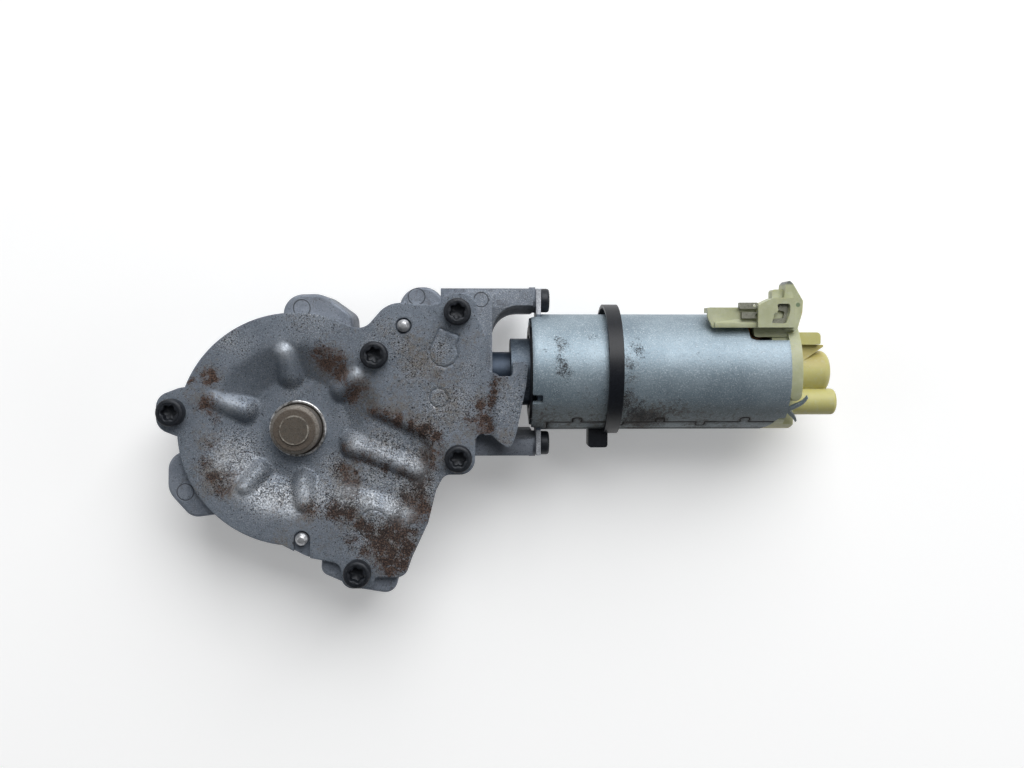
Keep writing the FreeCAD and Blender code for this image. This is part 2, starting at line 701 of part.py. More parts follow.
# Steel can, open in front for the ears, with cut-outs for the end cap and two staking prongs
def make_can():
    body = sleeve(can_r, can_r - can_wall, can_start, can_end)
    slot_half = ear_half + ear_clear
    body = body.cut(block(can_start - 1, plate_x + plate_t + ear_clear, motor_y - can_r - 1,
                          motor_y + can_r + 1, motor_z - slot_half, motor_z + slot_half))
    body = body.cut(spoke(can_start - 1, can_start + notch_length, notch_width, 0, can_r + 1, notch_turn))
    body = body.cut(prism(cap_window, cap_window_bottom, motor_z + can_r + 1))
    body = body.cut(prism(lug_corners, lug_bottom, motor_z + can_r))
    for lean, length in prongs:
        prong = block(-1.0, length, -prong_thick / 2, prong_thick / 2, -prong_height, 0)
        prong.rotate(Vec(0, 0, 0), Vec(0, 0, 1), lean)
        prong.translate(Vec(can_end, motor_y, motor_z + can_r - 0.2))
        prong.rotate(Vec(0, motor_y, motor_z), Vec(1, 0, 0), prong_turn)
        body = body.fuse(prong)
    return solid_only(body)


# Moulded end cap: flange, bearing dome, boss, gusset and the connector's deck

def make_cap_body():
    flange_end = flange_x + flange_t
    dome = rod(dome_r, flange_end - 0.5, dome_end)
    dome = dome.makeFillet(dome_round, [e for e in dome.Edges if e.BoundBox.XMin > dome_end - 0.01])
    boss = rod(boss_r, flange_x, boss_end, boss_y, boss_z)
    boss = boss.makeFillet(boss_round, [e for e in boss.Edges if e.BoundBox.XMin > boss_end - 0.01])
    lug = sleeve(can_r - plug_gap, can_r - can_wall - plug_gap, lug_corners[0][0], can_end).common(
        prism(grown(lug_corners, -0.15), lug_bottom, motor_z + can_r))
    flange = rod(flange_r, flange_x, flange_end)
    notch = block(flange_x - 1, flange_end + 1, motor_y - can_r, flange_notch_y + flange_t / 2,
                  boss_z + boss_r, motor_z + can_r + 1)
    notch = notch.cut(disc(flange_t / 2, boss_z, motor_z + can_r + 1, flange_x + flange_t / 2,
                           flange_notch_y + flange_t / 2))
    plug = rod(can_r - can_wall - plug_gap, can_end - plug_length, can_end)
    body = fuse_all([plug, flange.cut(notch), lug, dome, boss, prism(gusset, gusset_low, gusset_high),
                     prism(upper_block, upper_block_low, upper_block_high)])
    body = body.cut(rod(can_r - can_wall - plug_wall, can_end - plug_length - 1, can_end - 1))
    pocket_end = rear_bush_x + rear_bush_length
    body = body.cut(rod(rear_bush_out, rear_bush_x - bush_entry, pocket_end))
    return body.cut(rod(tail_r + tail_gap, pocket_end, pocket_end + 2 * tail_gap))


def make_deck():
    shoulder = motor_y + can_r + deck_gap
    deck = prism(deck_corners, deck_bottom, deck_top)
    skirt = block(skirt_start, flange_x + 1, shoulder, deck_high_y, deck_bottom - skirt_drop, deck_top)
    ledge = block(ledge_start, flange_x + 1, deck_low_y, deck_low_y + ledge_width, deck_bottom,
                  deck_top + ledge_height)
    inner = prism(amber_block, deck_bottom - amber_drop, deck_bottom).cut(
        rod(can_r - can_wall - plug_wall, deck_start, flange_x))
    back = prism(back_corners, deck_bottom - back_drop, back_top)
    back = back.cut(prism(contact_window, contact_bottom, back_top + 1))
    tab = prism(tab_corners, deck_bottom - back_drop, deck_top - tab_drop)
    return [deck, skirt, ledge, inner, back, tab, prism(fin_corners, fin_bottom, fin_top)]


def make_end_cap():
    body = make_cap_body().fuse(make_deck()).removeSplitter()
    for metal in make_blades() + make_contact():
        body = body.cut(metal)
    return solid_only(body)


# Two plug blades that stand on the deck, and the S-shaped contact in the connector's window
def make_blades():
    blades = []
    low = deck_top + blade_lift
    for x, y in blade_places:
        end = x + blade_length
        near = y - blade_width / 2
        far = y + blade_width / 2
        blade = prism([(x, near, 0), (x, far, 0), (end, far, blade_round), (end, near, blade_round)],
                      low, low + blade_thick)
        foot = block(x, x + blade_root, near, far, deck_top - blade_sink, low)
        blades.append(blade.fuse(foot).cut(disc(blade_hole_r, deck_top, back_top, end - blade_hole_in, y)))
    return blades


def make_contact():
    return [prism(contact_strip, contact_bottom, contact_bottom + contact_height)]


# Armature

def thread_section(turn):
    lead = math.pi * worm_module
    thick = lead / 2 - worm_backlash
    slope = math.tan(pressure_angle)
    foot = worm_core_r - 0.3
    tip_half = thick / 2 - slope * worm_module
    foot_half = thick / 2 + slope * (worm_pitch_r - foot)
    angle = 2 * math.pi * turn
    corners = [Vec(turn * lead + x, radius * math.cos(angle), radius * math.sin(angle))
               for radius, x in ((foot, -foot_half), (worm_tip_r, -tip_half), (worm_tip_r, tip_half),
                                 (foot, foot_half))]
    return Part.makePolygon(corners + corners[:1])


# The thread is carried from section to section; at half a turn its crest faces the wheel at axle_x
def make_worm():
    lead = math.pi * worm_module
    first = math.ceil(((worm_start - axle_x) / lead + 1.1) * thread_steps)
    last = math.floor(((worm_end - axle_x) / lead - 0.1) * thread_steps)
    wires = [thread_section(k / thread_steps) for k in range(first, last + 1)]
    thread = Part.makeLoft(wires, True, True)
    thread.translate(Vec(axle_x - lead / 2, motor_y, motor_z))
    core = sleeve(worm_core_r, worm_shaft_r, worm_start, worm_end + worm_hub)
    return solid_only(core.fuse(thread))


def make_core():
    body = rod(core_r, core_start, core_end)
    for k in range(core_slots):
        body = body.cut(spoke(core_start, core_end, slot_width, core_r - slot_depth, core_r + 1,
                              360 * k / core_slots))
    return solid_only(body.cut(rod(rotor_shaft_r, core_start, core_end)))


# The end turns are a bevelled ring on each side of the core, joined by the wires in the slots
def make_windings():
    coils = []
    for start, end in ((core_start - coil_reach, core_start), (core_end, core_end + coil_reach)):
        turns = rod(core_r - coil_sink, start, end)
        turns = turns.makeChamfer(coil_bevel, [e for e in turns.Edges if e.BoundBox.YLength > core_r])
        coils.append(turns.cut(rod(rotor_shaft_r, start, end)))
    for k in range(core_slots):
        coils.append(spoke(core_start, core_end, slot_width - 2 * wire_gap, core_r - slot_depth + wire_gap,
                           core_r - wire_sink, 360 * k / core_slots))
    return solid_only(fuse_all(coils))


def make_magnets():
    start = core_start - 2
    end = core_end + 2
    shell = sleeve(can_r - can_wall, core_r + magnet_gap, start, end)
    gap = block(start, end, motor_y - can_r, motor_y + can_r, motor_z - magnet_half_gap,
                motor_z + magnet_half_gap)
    sides = spoke(start, end, magnet_width, -can_r, can_r)
    return Part.makeCompound(shell.cut(gap).common(sides).Solids)


def make_commutator():
    body = sleeve(comm_r, rotor_shaft_r, comm_start, comm_end)
    for k in range(core_slots):
        body = body.cut(spoke(comm_start + comm_riser, comm_end, comm_slot, comm_r - comm_slot_depth,
                              comm_r + 1, 360 * (k + 0.5) / core_slots))
    return solid_only(body)


def make_armature_shaft():
    return fuse_all([rod(worm_end_r, bush_start + end_gap, worm_start),
                     rod(worm_shaft_r, worm_start, worm_end + worm_hub),
                     rod(rotor_shaft_r, worm_end + worm_hub, comm_end),
                     rod(tail_r, comm_end, rear_bush_x + rear_bush_length + 0.5)])


# Sealed ball bearing: the shields close the space between its rings
def make_bearing():
    end = bearing_x + bearing_width
    outer = sleeve(bearing_r, outer_race_r, bearing_x, end)
    inner = sleeve(inner_race_r, rotor_shaft_r, bearing_x, end)
    shields = [sleeve(outer_race_r, inner_race_r + shield_gap, x, x + shield_thick)
               for x in (bearing_x + shield_gap, end - shield_gap - shield_thick)]
    return outer, inner, Part.makeCompound(shields)


# Output shaft and gears

def make_output_shaft():
    front_low = hub_top + shaft_neck
    front = disc(shaft_front_r, front_low, shaft_end)
    front = front.makeChamfer(shaft_chamfer, [e for e in front.Edges if e.BoundBox.ZMin > shaft_end - 0.01])
    drive = spur(drive_teeth, drive_module, 0.0, 0.0, 0.0, drive_top - drive_width, drive_width)
    return solid_only(fuse_all([drive, disc(shaft_rear_r, drive_top, gear_bottom),
                                flatted(shaft_seat_r, seat_flat, gear_bottom, hub_top),
                                disc(seat_flat, hub_top, front_low), front,
                                disc(shaft_disc_r, shaft_end, shaft_end + shaft_disc_height)]))


def make_output_gear():
    teeth = spur(gear_teeth, spur_module, spur_backlash, -tooth_shift, math.pi / gear_teeth,
                 gear_bottom, gear_width)
    gear_top = gear_bottom + gear_width
    web = ring(gear_tip_r - web_rim, hub_r + web_hub, gear_top - web_depth, gear_top)
    body = teeth.fuse(disc(hub_r, gear_bottom, hub_top)).cut(web)
    return solid_only(body.cut(flatted(shaft_seat_r, seat_flat, gear_bottom, hub_top)))


def make_pinion():
    hub_top_z = motor_z + wheel_width / 2 - gear_bottom
    teeth = spur(pinion_teeth, spur_module, 0.0, tooth_shift, 0.0, 0, gear_width + 0.5)
    body = teeth.fuse(flatted(pinion_hub_r, pinion_flat, gear_width, hub_top_z))
    body = body.cut(disc(axle_r + running_gap, -1, hub_top_z + 1)).removeSplitter()
    body.translate(Vec(axle_x, 0, gear_bottom - 0.3))
    return solid_only(body)


# The wheel's teeth lean with the worm's thread: the lead angle, taken over the wheel's width
def make_wheel():
    twist = math.degrees(wheel_width / worm_pitch_r * worm_module / 2 / wheel_pitch_r)
    phase = math.pi / 2 + math.pi / wheel_teeth
    wires = []
    for share in (-0.5, 0.5):
        wire = gear_wire(wheel_teeth, worm_module, 0.0, 0.0, phase)
        wire.rotate(Vec(0, 0, 0), Vec(0, 0, 1), twist * share)
        wire.translate(Vec(0, 0, motor_z + wheel_width * share))
        wires.append(wire)
    body = Part.makeLoft(wires, True, True)
    body.translate(Vec(axle_x, 0, 0))
    bottom = motor_z - wheel_width / 2
    return solid_only(body.cut(flatted(pinion_hub_r, pinion_flat, bottom, bottom + wheel_width, axle_x, 0)))


# Bushes, washers and other small parts

def make_front_bushing():
    low = plate_top - dish_depth - plate_thick
    return ring(collar_r, shaft_front_r + running_gap, low, collar_top).fuse(
        ring(collar_flange_r, shaft_front_r + running_gap, low - collar_flange_thick, low)).removeSplitter()


def make_cover_screws():
    screw = cap_screw(screw_r, screw_length, head_r, head_height)
    return Part.makeCompound([moved(screw, Vec(x, y, plate_top)) for x, y in screw_places])


def make_motor_screws():
    screw = cap_screw(screw_r, motor_screw_length, motor_screw_head_r, motor_screw_head_height)
    screw.rotate(Vec(0, 0, 0), Vec(0, 1, 0), 90)
    return Part.makeCompound([moved(screw, Vec(plate_x + plate_t, motor_y + side * motor_screw_off, motor_z))
                              for side in (-1, 1)])


def make_pins():
    top = plate_top + pin_stand
    pin = disc(pin_r, top - pin_length, top)
    pin = pin.makeChamfer(pin_bevel, [e for e in pin.Edges if e.BoundBox.ZMin > top - 0.01])
    return Part.makeCompound([moved(pin, Vec(x, y, 0)) for x, y in pin_places])


# The strap hangs a little loose on the can, and only its lock sits on it
def make_tie():
    start = tie_x - tie_width / 2
    end = tie_x + tie_width / 2
    inner = can_r + tie_slack
    strap = sleeve(inner + tie_thick, inner, start, end, motor_y + tie_slack - tie_clear)
    low = motor_y - can_r
    left, right = (tie_x + off for off in tie_lock_off)
    lock = block(left, right, low - tie_lock_depth, low + 2.0, tie_lock_low, tie_lock_high)
    lock = lock.makeFillet(tie_lock_round, [e for e in lock.Edges if e.BoundBox.ZLength > 1])
    return solid_only(strap.fuse(lock).cut(rod(can_r, left - 1, end + 1)))


def make_brushes():
    tube_end = can_r - can_wall - tube_inset
    tube_start = comm_r + tube_lift
    spring_start = tube_start + brush_reach
    spring_end = tube_end - end_gap
    wide = 2 * (brush_half + tube_gap)
    tall = wide - brush_flat
    coil_long, coil_tall = spring_size

    def bar(length, height, inner, outer):
        return block(brush_x - length / 2, brush_x + length / 2, motor_y + inner, motor_y + outer,
                     motor_z - height / 2, motor_z + height / 2)

    tube = bar(wide + 2 * tube_wall, tall + 2 * tube_wall, tube_start, tube_end)
    tube = tube.cut(bar(wide, tall, tube_start, tube_end))
    brush = bar(2 * brush_half, tall - 2 * tube_gap, comm_r + running_gap, spring_start)
    spring = bar(coil_long, coil_tall, spring_start, spring_end).cut(
        bar(coil_long - 2 * spring_wire, coil_tall, spring_start + spring_wire, spring_end - spring_wire))
    return [Part.makeCompound([shape, mirrored(shape)]) for shape in (tube, brush, spring)]


def make_brush_plate():
    end = comm_start - board_gap
    body = sleeve(can_r - can_wall - plug_gap, comm_r + board_bore_gap, end - board_thick, end)
    tube_edge = brush_x - brush_half - tube_gap - tube_wall
    near, far = foot_reach
    foot = block(end, tube_edge, motor_y + near, motor_y + far, motor_z - brush_half, motor_z + brush_half)
    return solid_only(fuse_all([body, foot, mirrored(foot)]))


def make_all():
    outer, inner, shields = make_bearing()
    tubes, brushes, springs = make_brushes()
    washer_top = plate_top - dish_depth - plate_thick - collar_flange_thick - end_gap / 2
    return {
        "gearbox_housing": make_housing(),
        "cover_plate": make_cover(),
        "cover_screws": make_cover_screws(),
        "dowel_pins": make_pins(),
        "front_bushing": make_front_bushing(),
        "rear_bushing": ring(rear_bush_r, shaft_rear_r + running_gap, rear_boss_bottom,
                             gear_bottom - end_gap),
        "output_shaft": make_output_shaft(),
        "output_gear": make_output_gear(),
        "retaining_ring": ring(shaft_seat_r + 1.2, seat_flat, hub_top, hub_top + 1.0),
        "thrust_washer": ring(collar_flange_r, shaft_front_r + 0.1, hub_top + 1.1, washer_top),
        "intermediate_axle": disc(axle_r, axle_bottom, axle_top, axle_x, 0),
        "intermediate_pinion": make_pinion(),
        "worm_wheel": make_wheel(),
        "worm": make_worm(),
        "worm_end_bush": sleeve(bush_r, worm_end_r + running_gap, bush_start, bush_end),
        "armature_shaft": make_armature_shaft(),
        "armature_core": make_core(),
        "armature_windings": make_windings(),
        "commutator": make_commutator(),
        "bearing_outer_ring": outer,
        "bearing_inner_ring": inner,
        "bearing_shields": shields,
        "rear_armature_bush": sleeve(rear_bush_out, tail_r + running_gap, rear_bush_x,
                                     rear_bush_x + rear_bush_length),
        "motor_end_plate": make_end_plate(),
        "motor_screws": make_motor_screws(),
        "motor_can": make_can(),
        "magnets": make_magnets(),
        "brush_plate": make_brush_plate(),
        "brush_tubes": tubes,
        "brushes": brushes,
        "brush_springs": springs,
        "end_cap": make_end_cap(),
        "terminal_blades": Part.makeCompound(make_blades()),
        "contact_strip": make_contact()[0],
        "cable_tie": make_tie(),
    }


os.makedirs("parts", exist_ok=True)
for node, shape in make_all().items():
    print(node, len(shape.Solids), round(shape.Volume, 1), "" if shape.isValid() else "not valid")
    shape.exportStep(os.path.join("parts", node + ".step"))
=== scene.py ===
import json
import math
import bmesh
import bpy
import numpy as np
from mathutils import Matrix, Vector
from mathutils.geometry import delaunay_2d_cdt


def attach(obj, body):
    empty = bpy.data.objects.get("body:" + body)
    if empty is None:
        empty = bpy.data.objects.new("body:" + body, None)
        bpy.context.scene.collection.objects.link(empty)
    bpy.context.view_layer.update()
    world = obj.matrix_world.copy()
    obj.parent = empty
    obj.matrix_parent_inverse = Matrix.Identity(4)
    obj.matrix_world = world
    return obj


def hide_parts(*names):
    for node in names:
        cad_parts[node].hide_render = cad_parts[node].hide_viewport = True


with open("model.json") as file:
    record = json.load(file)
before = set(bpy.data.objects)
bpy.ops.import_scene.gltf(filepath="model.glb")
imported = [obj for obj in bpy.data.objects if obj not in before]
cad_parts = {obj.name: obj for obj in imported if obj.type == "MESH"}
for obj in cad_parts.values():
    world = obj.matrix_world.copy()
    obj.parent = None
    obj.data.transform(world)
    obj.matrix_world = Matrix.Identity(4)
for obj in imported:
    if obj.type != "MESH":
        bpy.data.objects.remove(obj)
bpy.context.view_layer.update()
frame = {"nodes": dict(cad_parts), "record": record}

# Seat adjustment motor, dressed for the photograph: stamped cover, cast housing, canned motor and
# moulded end cap. Shapes are worked out in millimetres, in the part's own frame, and go into the
# meshes in metres.

nodes = frame["nodes"]
mm = 0.001
motorY, motorZ = 18.0, 15.0
print("frame loaded")


# camera and light

view = {
    "lens": 37.27, "sensor": 36.0, "picture": (1024, 768),
    "place": (55.455, 26.860, 365.0),
    "lean": (-42 / 1060, 39 / 1060),      # where straight down falls in the picture, in focal lengths
}


def cameraTurn():
    up = -Vector((view["lean"][0], view["lean"][1], -1)).normalized()
    right = (Vector((1, 0, 0)) - up * up.x).normalized()
    return Matrix((right, up.cross(right), up))


def pixelRay(u, v):
    # the direction from the camera in which a pixel of the photo lies
    wide, high = view["picture"]
    focal = view["lens"] / view["sensor"] * wide
    return cameraTurn() @ Vector(((u - wide / 2) / focal, (high / 2 - v) / focal, -1))


def onLevel(u, v, z):
    # where a pixel's ray meets the height z, as x and y
    place, ray = Vector(view["place"]), pixelRay(u, v)
    return (place + ray * ((z - place.z) / ray.z))[:2]


def onBarrel(u, v, radius):
    # where a pixel's ray first meets a cylinder round the motor's axis, as x and y
    place, ray = Vector(view["place"]), pixelRay(u, v)
    off, way = Vector((place.y - motorY, place.z - motorZ)), Vector((ray.y, ray.z))
    a, b, c = way @ way, off @ way, off @ off - radius ** 2
    return (place + ray * ((-b - math.sqrt(max(0.0, b * b - a * c))) / a))[:2]


def makeCamera():
    data = bpy.data.cameras.new("camera")
    data.lens, data.sensor_width = view["lens"], view["sensor"]
    data.clip_start, data.clip_end = 0.01, 20.0
    camera = bpy.data.objects.new("camera", data)
    bpy.context.scene.collection.objects.link(camera)
    camera.matrix_world = Matrix.Translation(Vector(view["place"]) * mm) @ cameraTurn().to_4x4()
    bpy.context.scene.camera = camera


light = {
    "target": (55, 5, 10),
    "boxes": [                            # place, size, power in watts
        ("key", (430, 1300, 1620), (1900, 1300), 37.0),
        ("window", (560, 1760, 760), (2200, 700), 13.0),
        ("side", (-1500, 150, 900), (900, 900), 3.2),
        ("far", (1900, -150, 900), (900, 900), 4.0),
    ],
    "sky": (0.94, 0.97, 1.0), "skyLevel": 0.105,
    "floorHeight": -8.1, "floorSize": 4000, "floorColor": (0.91, 0.912, 0.912), "floorLift": 0.235,
}


def makeLight():
    target = Vector(light["target"]) * mm
    for name, place, size, power in light["boxes"]:
        data = bpy.data.lights.new(name, "AREA")
        data.shape, data.size, data.size_y, data.energy = "RECTANGLE", size[0] * mm, size[1] * mm, power
        lamp = bpy.data.objects.new(name, data)
        lamp.location = Vector(place) * mm
        lamp.rotation_mode = "QUATERNION"
        lamp.rotation_quaternion = (target - lamp.location).to_track_quat("-Z", "Y")
        bpy.context.scene.collection.objects.link(lamp)
    world = bpy.data.worlds.new("sky")
    bpy.context.scene.world = world
    world.use_nodes = True
    back = world.node_tree.nodes["Background"]
    back.inputs["Color"].default_value = (*light["sky"], 1)
    back.inputs["Strength"].default_value = light["skyLevel"]


bpy.context.scene.view_settings.view_transform = "Standard"
makeCamera()
makeLight()
print("camera and light made")


# shader maths: a wire is one socket, and sums on wires add the nodes

class Wire:
    def __init__(self, paint, socket):
        self.paint, self.socket = paint, socket

    def calc(self, operation, other=0.0, swap=False):
        pair = (other, self) if swap else (self, other)
        return self.paint.node("ShaderNodeMath", {"operation": operation}, {0: pair[0], 1: pair[1]})

    def __add__(self, other): return self.calc("ADD", other)
    def __radd__(self, other): return self.calc("ADD", other)
    def __sub__(self, other): return self.calc("SUBTRACT", other)
    def __rsub__(self, other): return self.calc("SUBTRACT", other, True)
    def __mul__(self, other): return self.calc("MULTIPLY", other)
    def __rmul__(self, other): return self.calc("MULTIPLY", other)
    def __truediv__(self, other): return self.calc("DIVIDE", other)
    def __rtruediv__(self, other): return self.calc("DIVIDE", other, True)
    def __pow__(self, other): return self.calc("POWER", other)


class Paint:
    def __init__(self, name):
        self.material = bpy.data.materials.new(name)
        self.material.use_nodes = True
        self.tree = self.material.node_tree
        self.tree.nodes.clear()
        place = self.node("ShaderNodeTexCoord", {}, {}, "Object")
        self.spot3 = self.node("ShaderNodeVectorMath", {"operation": "SCALE"}, {0: place, "Scale": 1000.0})
        self.x, self.y, self.z = (
            self.node("ShaderNodeSeparateXYZ", {}, {0: self.spot3}, k) for k in range(3))
        self.flat = self.node("ShaderNodeVectorMath", {"operation": "MULTIPLY"},
                              {0: self.spot3, 1: (1.0, 1.0, 0.0)})

    def node(self, kind, settings, values, out=0):
        made = self.tree.nodes.new(kind)
        for name, value in settings.items():
            setattr(made, name, value)
        for key, value in values.items():
            socket = made.inputs[key]
            if isinstance(value, Wire):
                self.tree.links.new(value.socket, socket)
            elif hasattr(value, "__len__") and len(value) == 3 and socket.type == "RGBA":
                socket.default_value = (*value, 1.0)
            else:
                socket.default_value = value
        return Wire(self, made.outputs[out])

    def noise(self, scale, detail=3.0, rough=0.55, warp=0.0, at=None, shift=0.0):
        where = at or self.spot3
        if shift:
            where = self.node("ShaderNodeVectorMath", {"operation": "ADD"},
                              {0: where, 1: (shift, shift * 1.7, shift * 0.6)})
        return self.node("ShaderNodeTexNoise", {}, {"Vector": where, "Scale": scale, "Detail": detail,
                                                    "Roughness": rough, "Distortion": warp})

    def soft(self, value, low, high):
        # smooth step from 0 at low to 1 at high, or down where low > high
        flip = low > high
        return self.node("ShaderNodeMapRange", {"interpolation_type": "SMOOTHSTEP"},
                         {"Value": value, "From Min": min(low, high), "From Max": max(low, high),
                          "To Min": 1.0 if flip else 0.0, "To Max": 0.0 if flip else 1.0})

    def away(self, x=0.0, y=0.0):
        # distance in the plan view
        return self.node("ShaderNodeVectorMath", {"operation": "DISTANCE"},
                         {0: self.flat, 1: (x, y, 0.0)}, "Value")

    def attribute(self, name):
        return self.node("ShaderNodeAttribute", {"attribute_name": name}, {}, "Fac")

    def mix(self, factor, a, b):
        made = self.tree.nodes.new("ShaderNodeMix")
        made.data_type = "RGBA"
        for socket, value in zip((made.inputs[0], made.inputs[6], made.inputs[7]), (factor, a, b)):
            if isinstance(value, Wire):
                self.tree.links.new(value.socket, socket)
            elif hasattr(value, "__len__"):
                socket.default_value = (*value, 1.0)
            else:
                socket.default_value = value
        return Wire(self, made.outputs[2])

    def shade(self, color, rough, metal, height, bump, reach, more=None, others=None):
        # height is in reach millimetres; more is a finer height on top, with its own bump and reach
        values = {"Base Color": color, "Roughness": rough, "Metallic": metal, **(others or {})}
        below = {}
        for level, strength, size in [(height, bump, reach)] + ([more] if more else []):
            normal = self.node("ShaderNodeBump", {}, {"Strength": strength, "Distance": size * mm,
                                                      "Height": level, **below}, "Normal")
            below = {"Normal": normal}
        shader = self.node("ShaderNodeBsdfPrincipled", {}, {**values, **below}, "BSDF")
        end = self.tree.nodes.new("ShaderNodeOutputMaterial")
        self.tree.links.new(shader.socket, end.inputs["Surface"])
        return self.material


# mesh helpers

def putMesh(name, points, faces, material, body="root", smooth=35):
    # points are millimetres (n, 3); faces are index rows; the piece rides on its body
    mesh = bpy.data.meshes.new(name)
    rows = faces if isinstance(faces, list) else faces.tolist()
    mesh.from_pydata((np.asarray(points, float) * mm).tolist(), [], rows)
    mesh.validate()
    mesh.update()
    mesh.shade_smooth()
    mesh.set_sharp_from_angle(angle=math.radians(smooth))
    mesh.materials.append(material)
    piece = bpy.data.objects.new(name, mesh)
    bpy.context.scene.collection.objects.link(piece)
    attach(piece, body)
    return piece


def softEdges(piece, width, segments=2, angle=35):
    bevel = piece.modifiers.new("edges", "BEVEL")
    bevel.width, bevel.segments = width * mm, segments
    bevel.limit_method, bevel.angle_limit = "ANGLE", math.radians(angle)
    bevel.harden_normals = False
    bevel.miter_outer = "MITER_ARC"


def pressSheet(piece, size):
    wall = piece.modifiers.new("sheet", "SOLIDIFY")
    wall.thickness, wall.offset = size["thick"] * mm, -1.0
    softEdges(piece, size["edge"], 2, 60)


def dressNode(node, body, material, edge=0.0, segments=2, smooth=32, tidy=0.002):
    # a merged copy of a CAD node, smooth over its curved faces and soft at its edges
    shape = bmesh.new()
    shape.from_mesh(nodes[node].data)
    bmesh.ops.remove_doubles(shape, verts=shape.verts, dist=tidy * mm)
    bmesh.ops.dissolve_limit(shape, angle_limit=math.radians(0.6), verts=shape.verts, edges=shape.edges)
    mesh = bpy.data.meshes.new(node + "_dressed")
    shape.to_mesh(mesh)
    shape.free()
    mesh.materials.clear()
    mesh.materials.append(material)
    mesh.shade_smooth()
    mesh.set_sharp_from_angle(angle=math.radians(smooth))
    piece = bpy.data.objects.new(node + "_dressed", mesh)
    bpy.context.scene.collection.objects.link(piece)
    if edge:
        softEdges(piece, edge, segments)
    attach(piece, body)
    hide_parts(node)
    return piece


def roundedLoop(corners, step=0.5):
    # each corner (x, y, radius) is cut back and bridged by an arc; arcs and straight runs are divided evenly
    runs = []
    count = len(corners)
    for i, (x, y, radius) in enumerate(corners):
        here = np.array([x, y])
        before, after = (np.array(corners[k % count][:2]) - here for k in (i - 1, i + 1))
        lengthA, lengthB = np.hypot(*before), np.hypot(*after)
        u, v = before / lengthA, after / lengthB
        half = math.acos(float(np.clip(u @ v, -1, 1))) / 2
        radius = min(radius, 0.49 * min(lengthA, lengthB) * math.tan(half))
        if radius < 0.02:
            runs.append(here[None])
            continue
        middle = (u + v) / np.hypot(*(u + v))
        centre = here + middle * radius / math.sin(half)
        start, end = (here + w * radius / math.tan(half) - centre for w in (u, v))
        turn = math.atan2(start[0] * end[1] - start[1] * end[0], start @ end)
        marks = max(4, int(abs(turn) * radius / step) + 2)
        angles = np.linspace(0, turn, marks) + math.atan2(start[1], start[0])
        runs.append(centre + radius * np.column_stack([np.cos(angles), np.sin(angles)]))
    knots = np.vstack(runs)
    following = np.roll(knots, -1, axis=0)
    lengths = np.hypot(*(following - knots).T)
    parts = np.maximum(1, np.round(lengths / step).astype(int))
    owner = np.repeat(np.arange(len(knots)), parts)
    share = (np.arange(len(owner)) - np.repeat(np.cumsum(parts) - parts, parts)) / parts[owner]
    return knots[owner] + (following - knots)[owner] * share[:, None]


def circleLoop(x, y, radius, step=0.4):
    turn = np.linspace(0, 2 * np.pi, max(16, int(2 * np.pi * radius / step)), endpoint=False)
    return np.column_stack([x + radius * np.cos(turn), y + radius * np.sin(turn)])


def distanceTo(points, path, closed=True):
    # least distance from each point to the path's segments, in blocks of points
    start = path if closed else path[:-1]
    along = (np.roll(path, -1, axis=0) if closed else path[1:]) - (path if closed else path[:-1])
    size = np.maximum((along ** 2).sum(1), 1e-12)
    least = []
    for block in np.array_split(points, max(1, len(points) * len(start) // 2000000 + 1)):
        off = block[:, None] - start[None]
        share = np.clip((off * along).sum(2) / size, 0, 1)
        least.append(np.sqrt((((off - share[..., None] * along)) ** 2).sum(2).min(1)))
    return np.concatenate(least)


def inside(points, loop):
    # a point is inside where a ray to the right crosses the loop an odd number of times
    a, b = loop, np.roll(loop, -1, axis=0)
    result = []
    for block in np.array_split(points, max(1, len(points) * len(loop) // 4000000 + 1)):
        x, y = block[:, :1], block[:, 1:]
        straddles = (a[:, 1] > y) != (b[:, 1] > y)
        rise = np.where(np.abs(b[:, 1] - a[:, 1]) < 1e-9, 1e-9, b[:, 1] - a[:, 1])
        crossing = a[:, 0] + (y - a[:, 1]) / rise * (b[:, 0] - a[:, 0])
        result.append((straddles & (x < crossing)).sum(1) % 2 == 1)
    return np.concatenate(result)


def depthInside(points, loop):
    return np.where(inside(points, loop), 1, -1) * distanceTo(points, loop)


def besideLine(line, tangent, offsets):
    # rows of points beside a fine line, at these distances to its left
    normal = np.column_stack([-tangent[:, 1], tangent[:, 0]]) / np.hypot(*tangent.T)[:, None]
    return [line + normal * d for d in offsets]


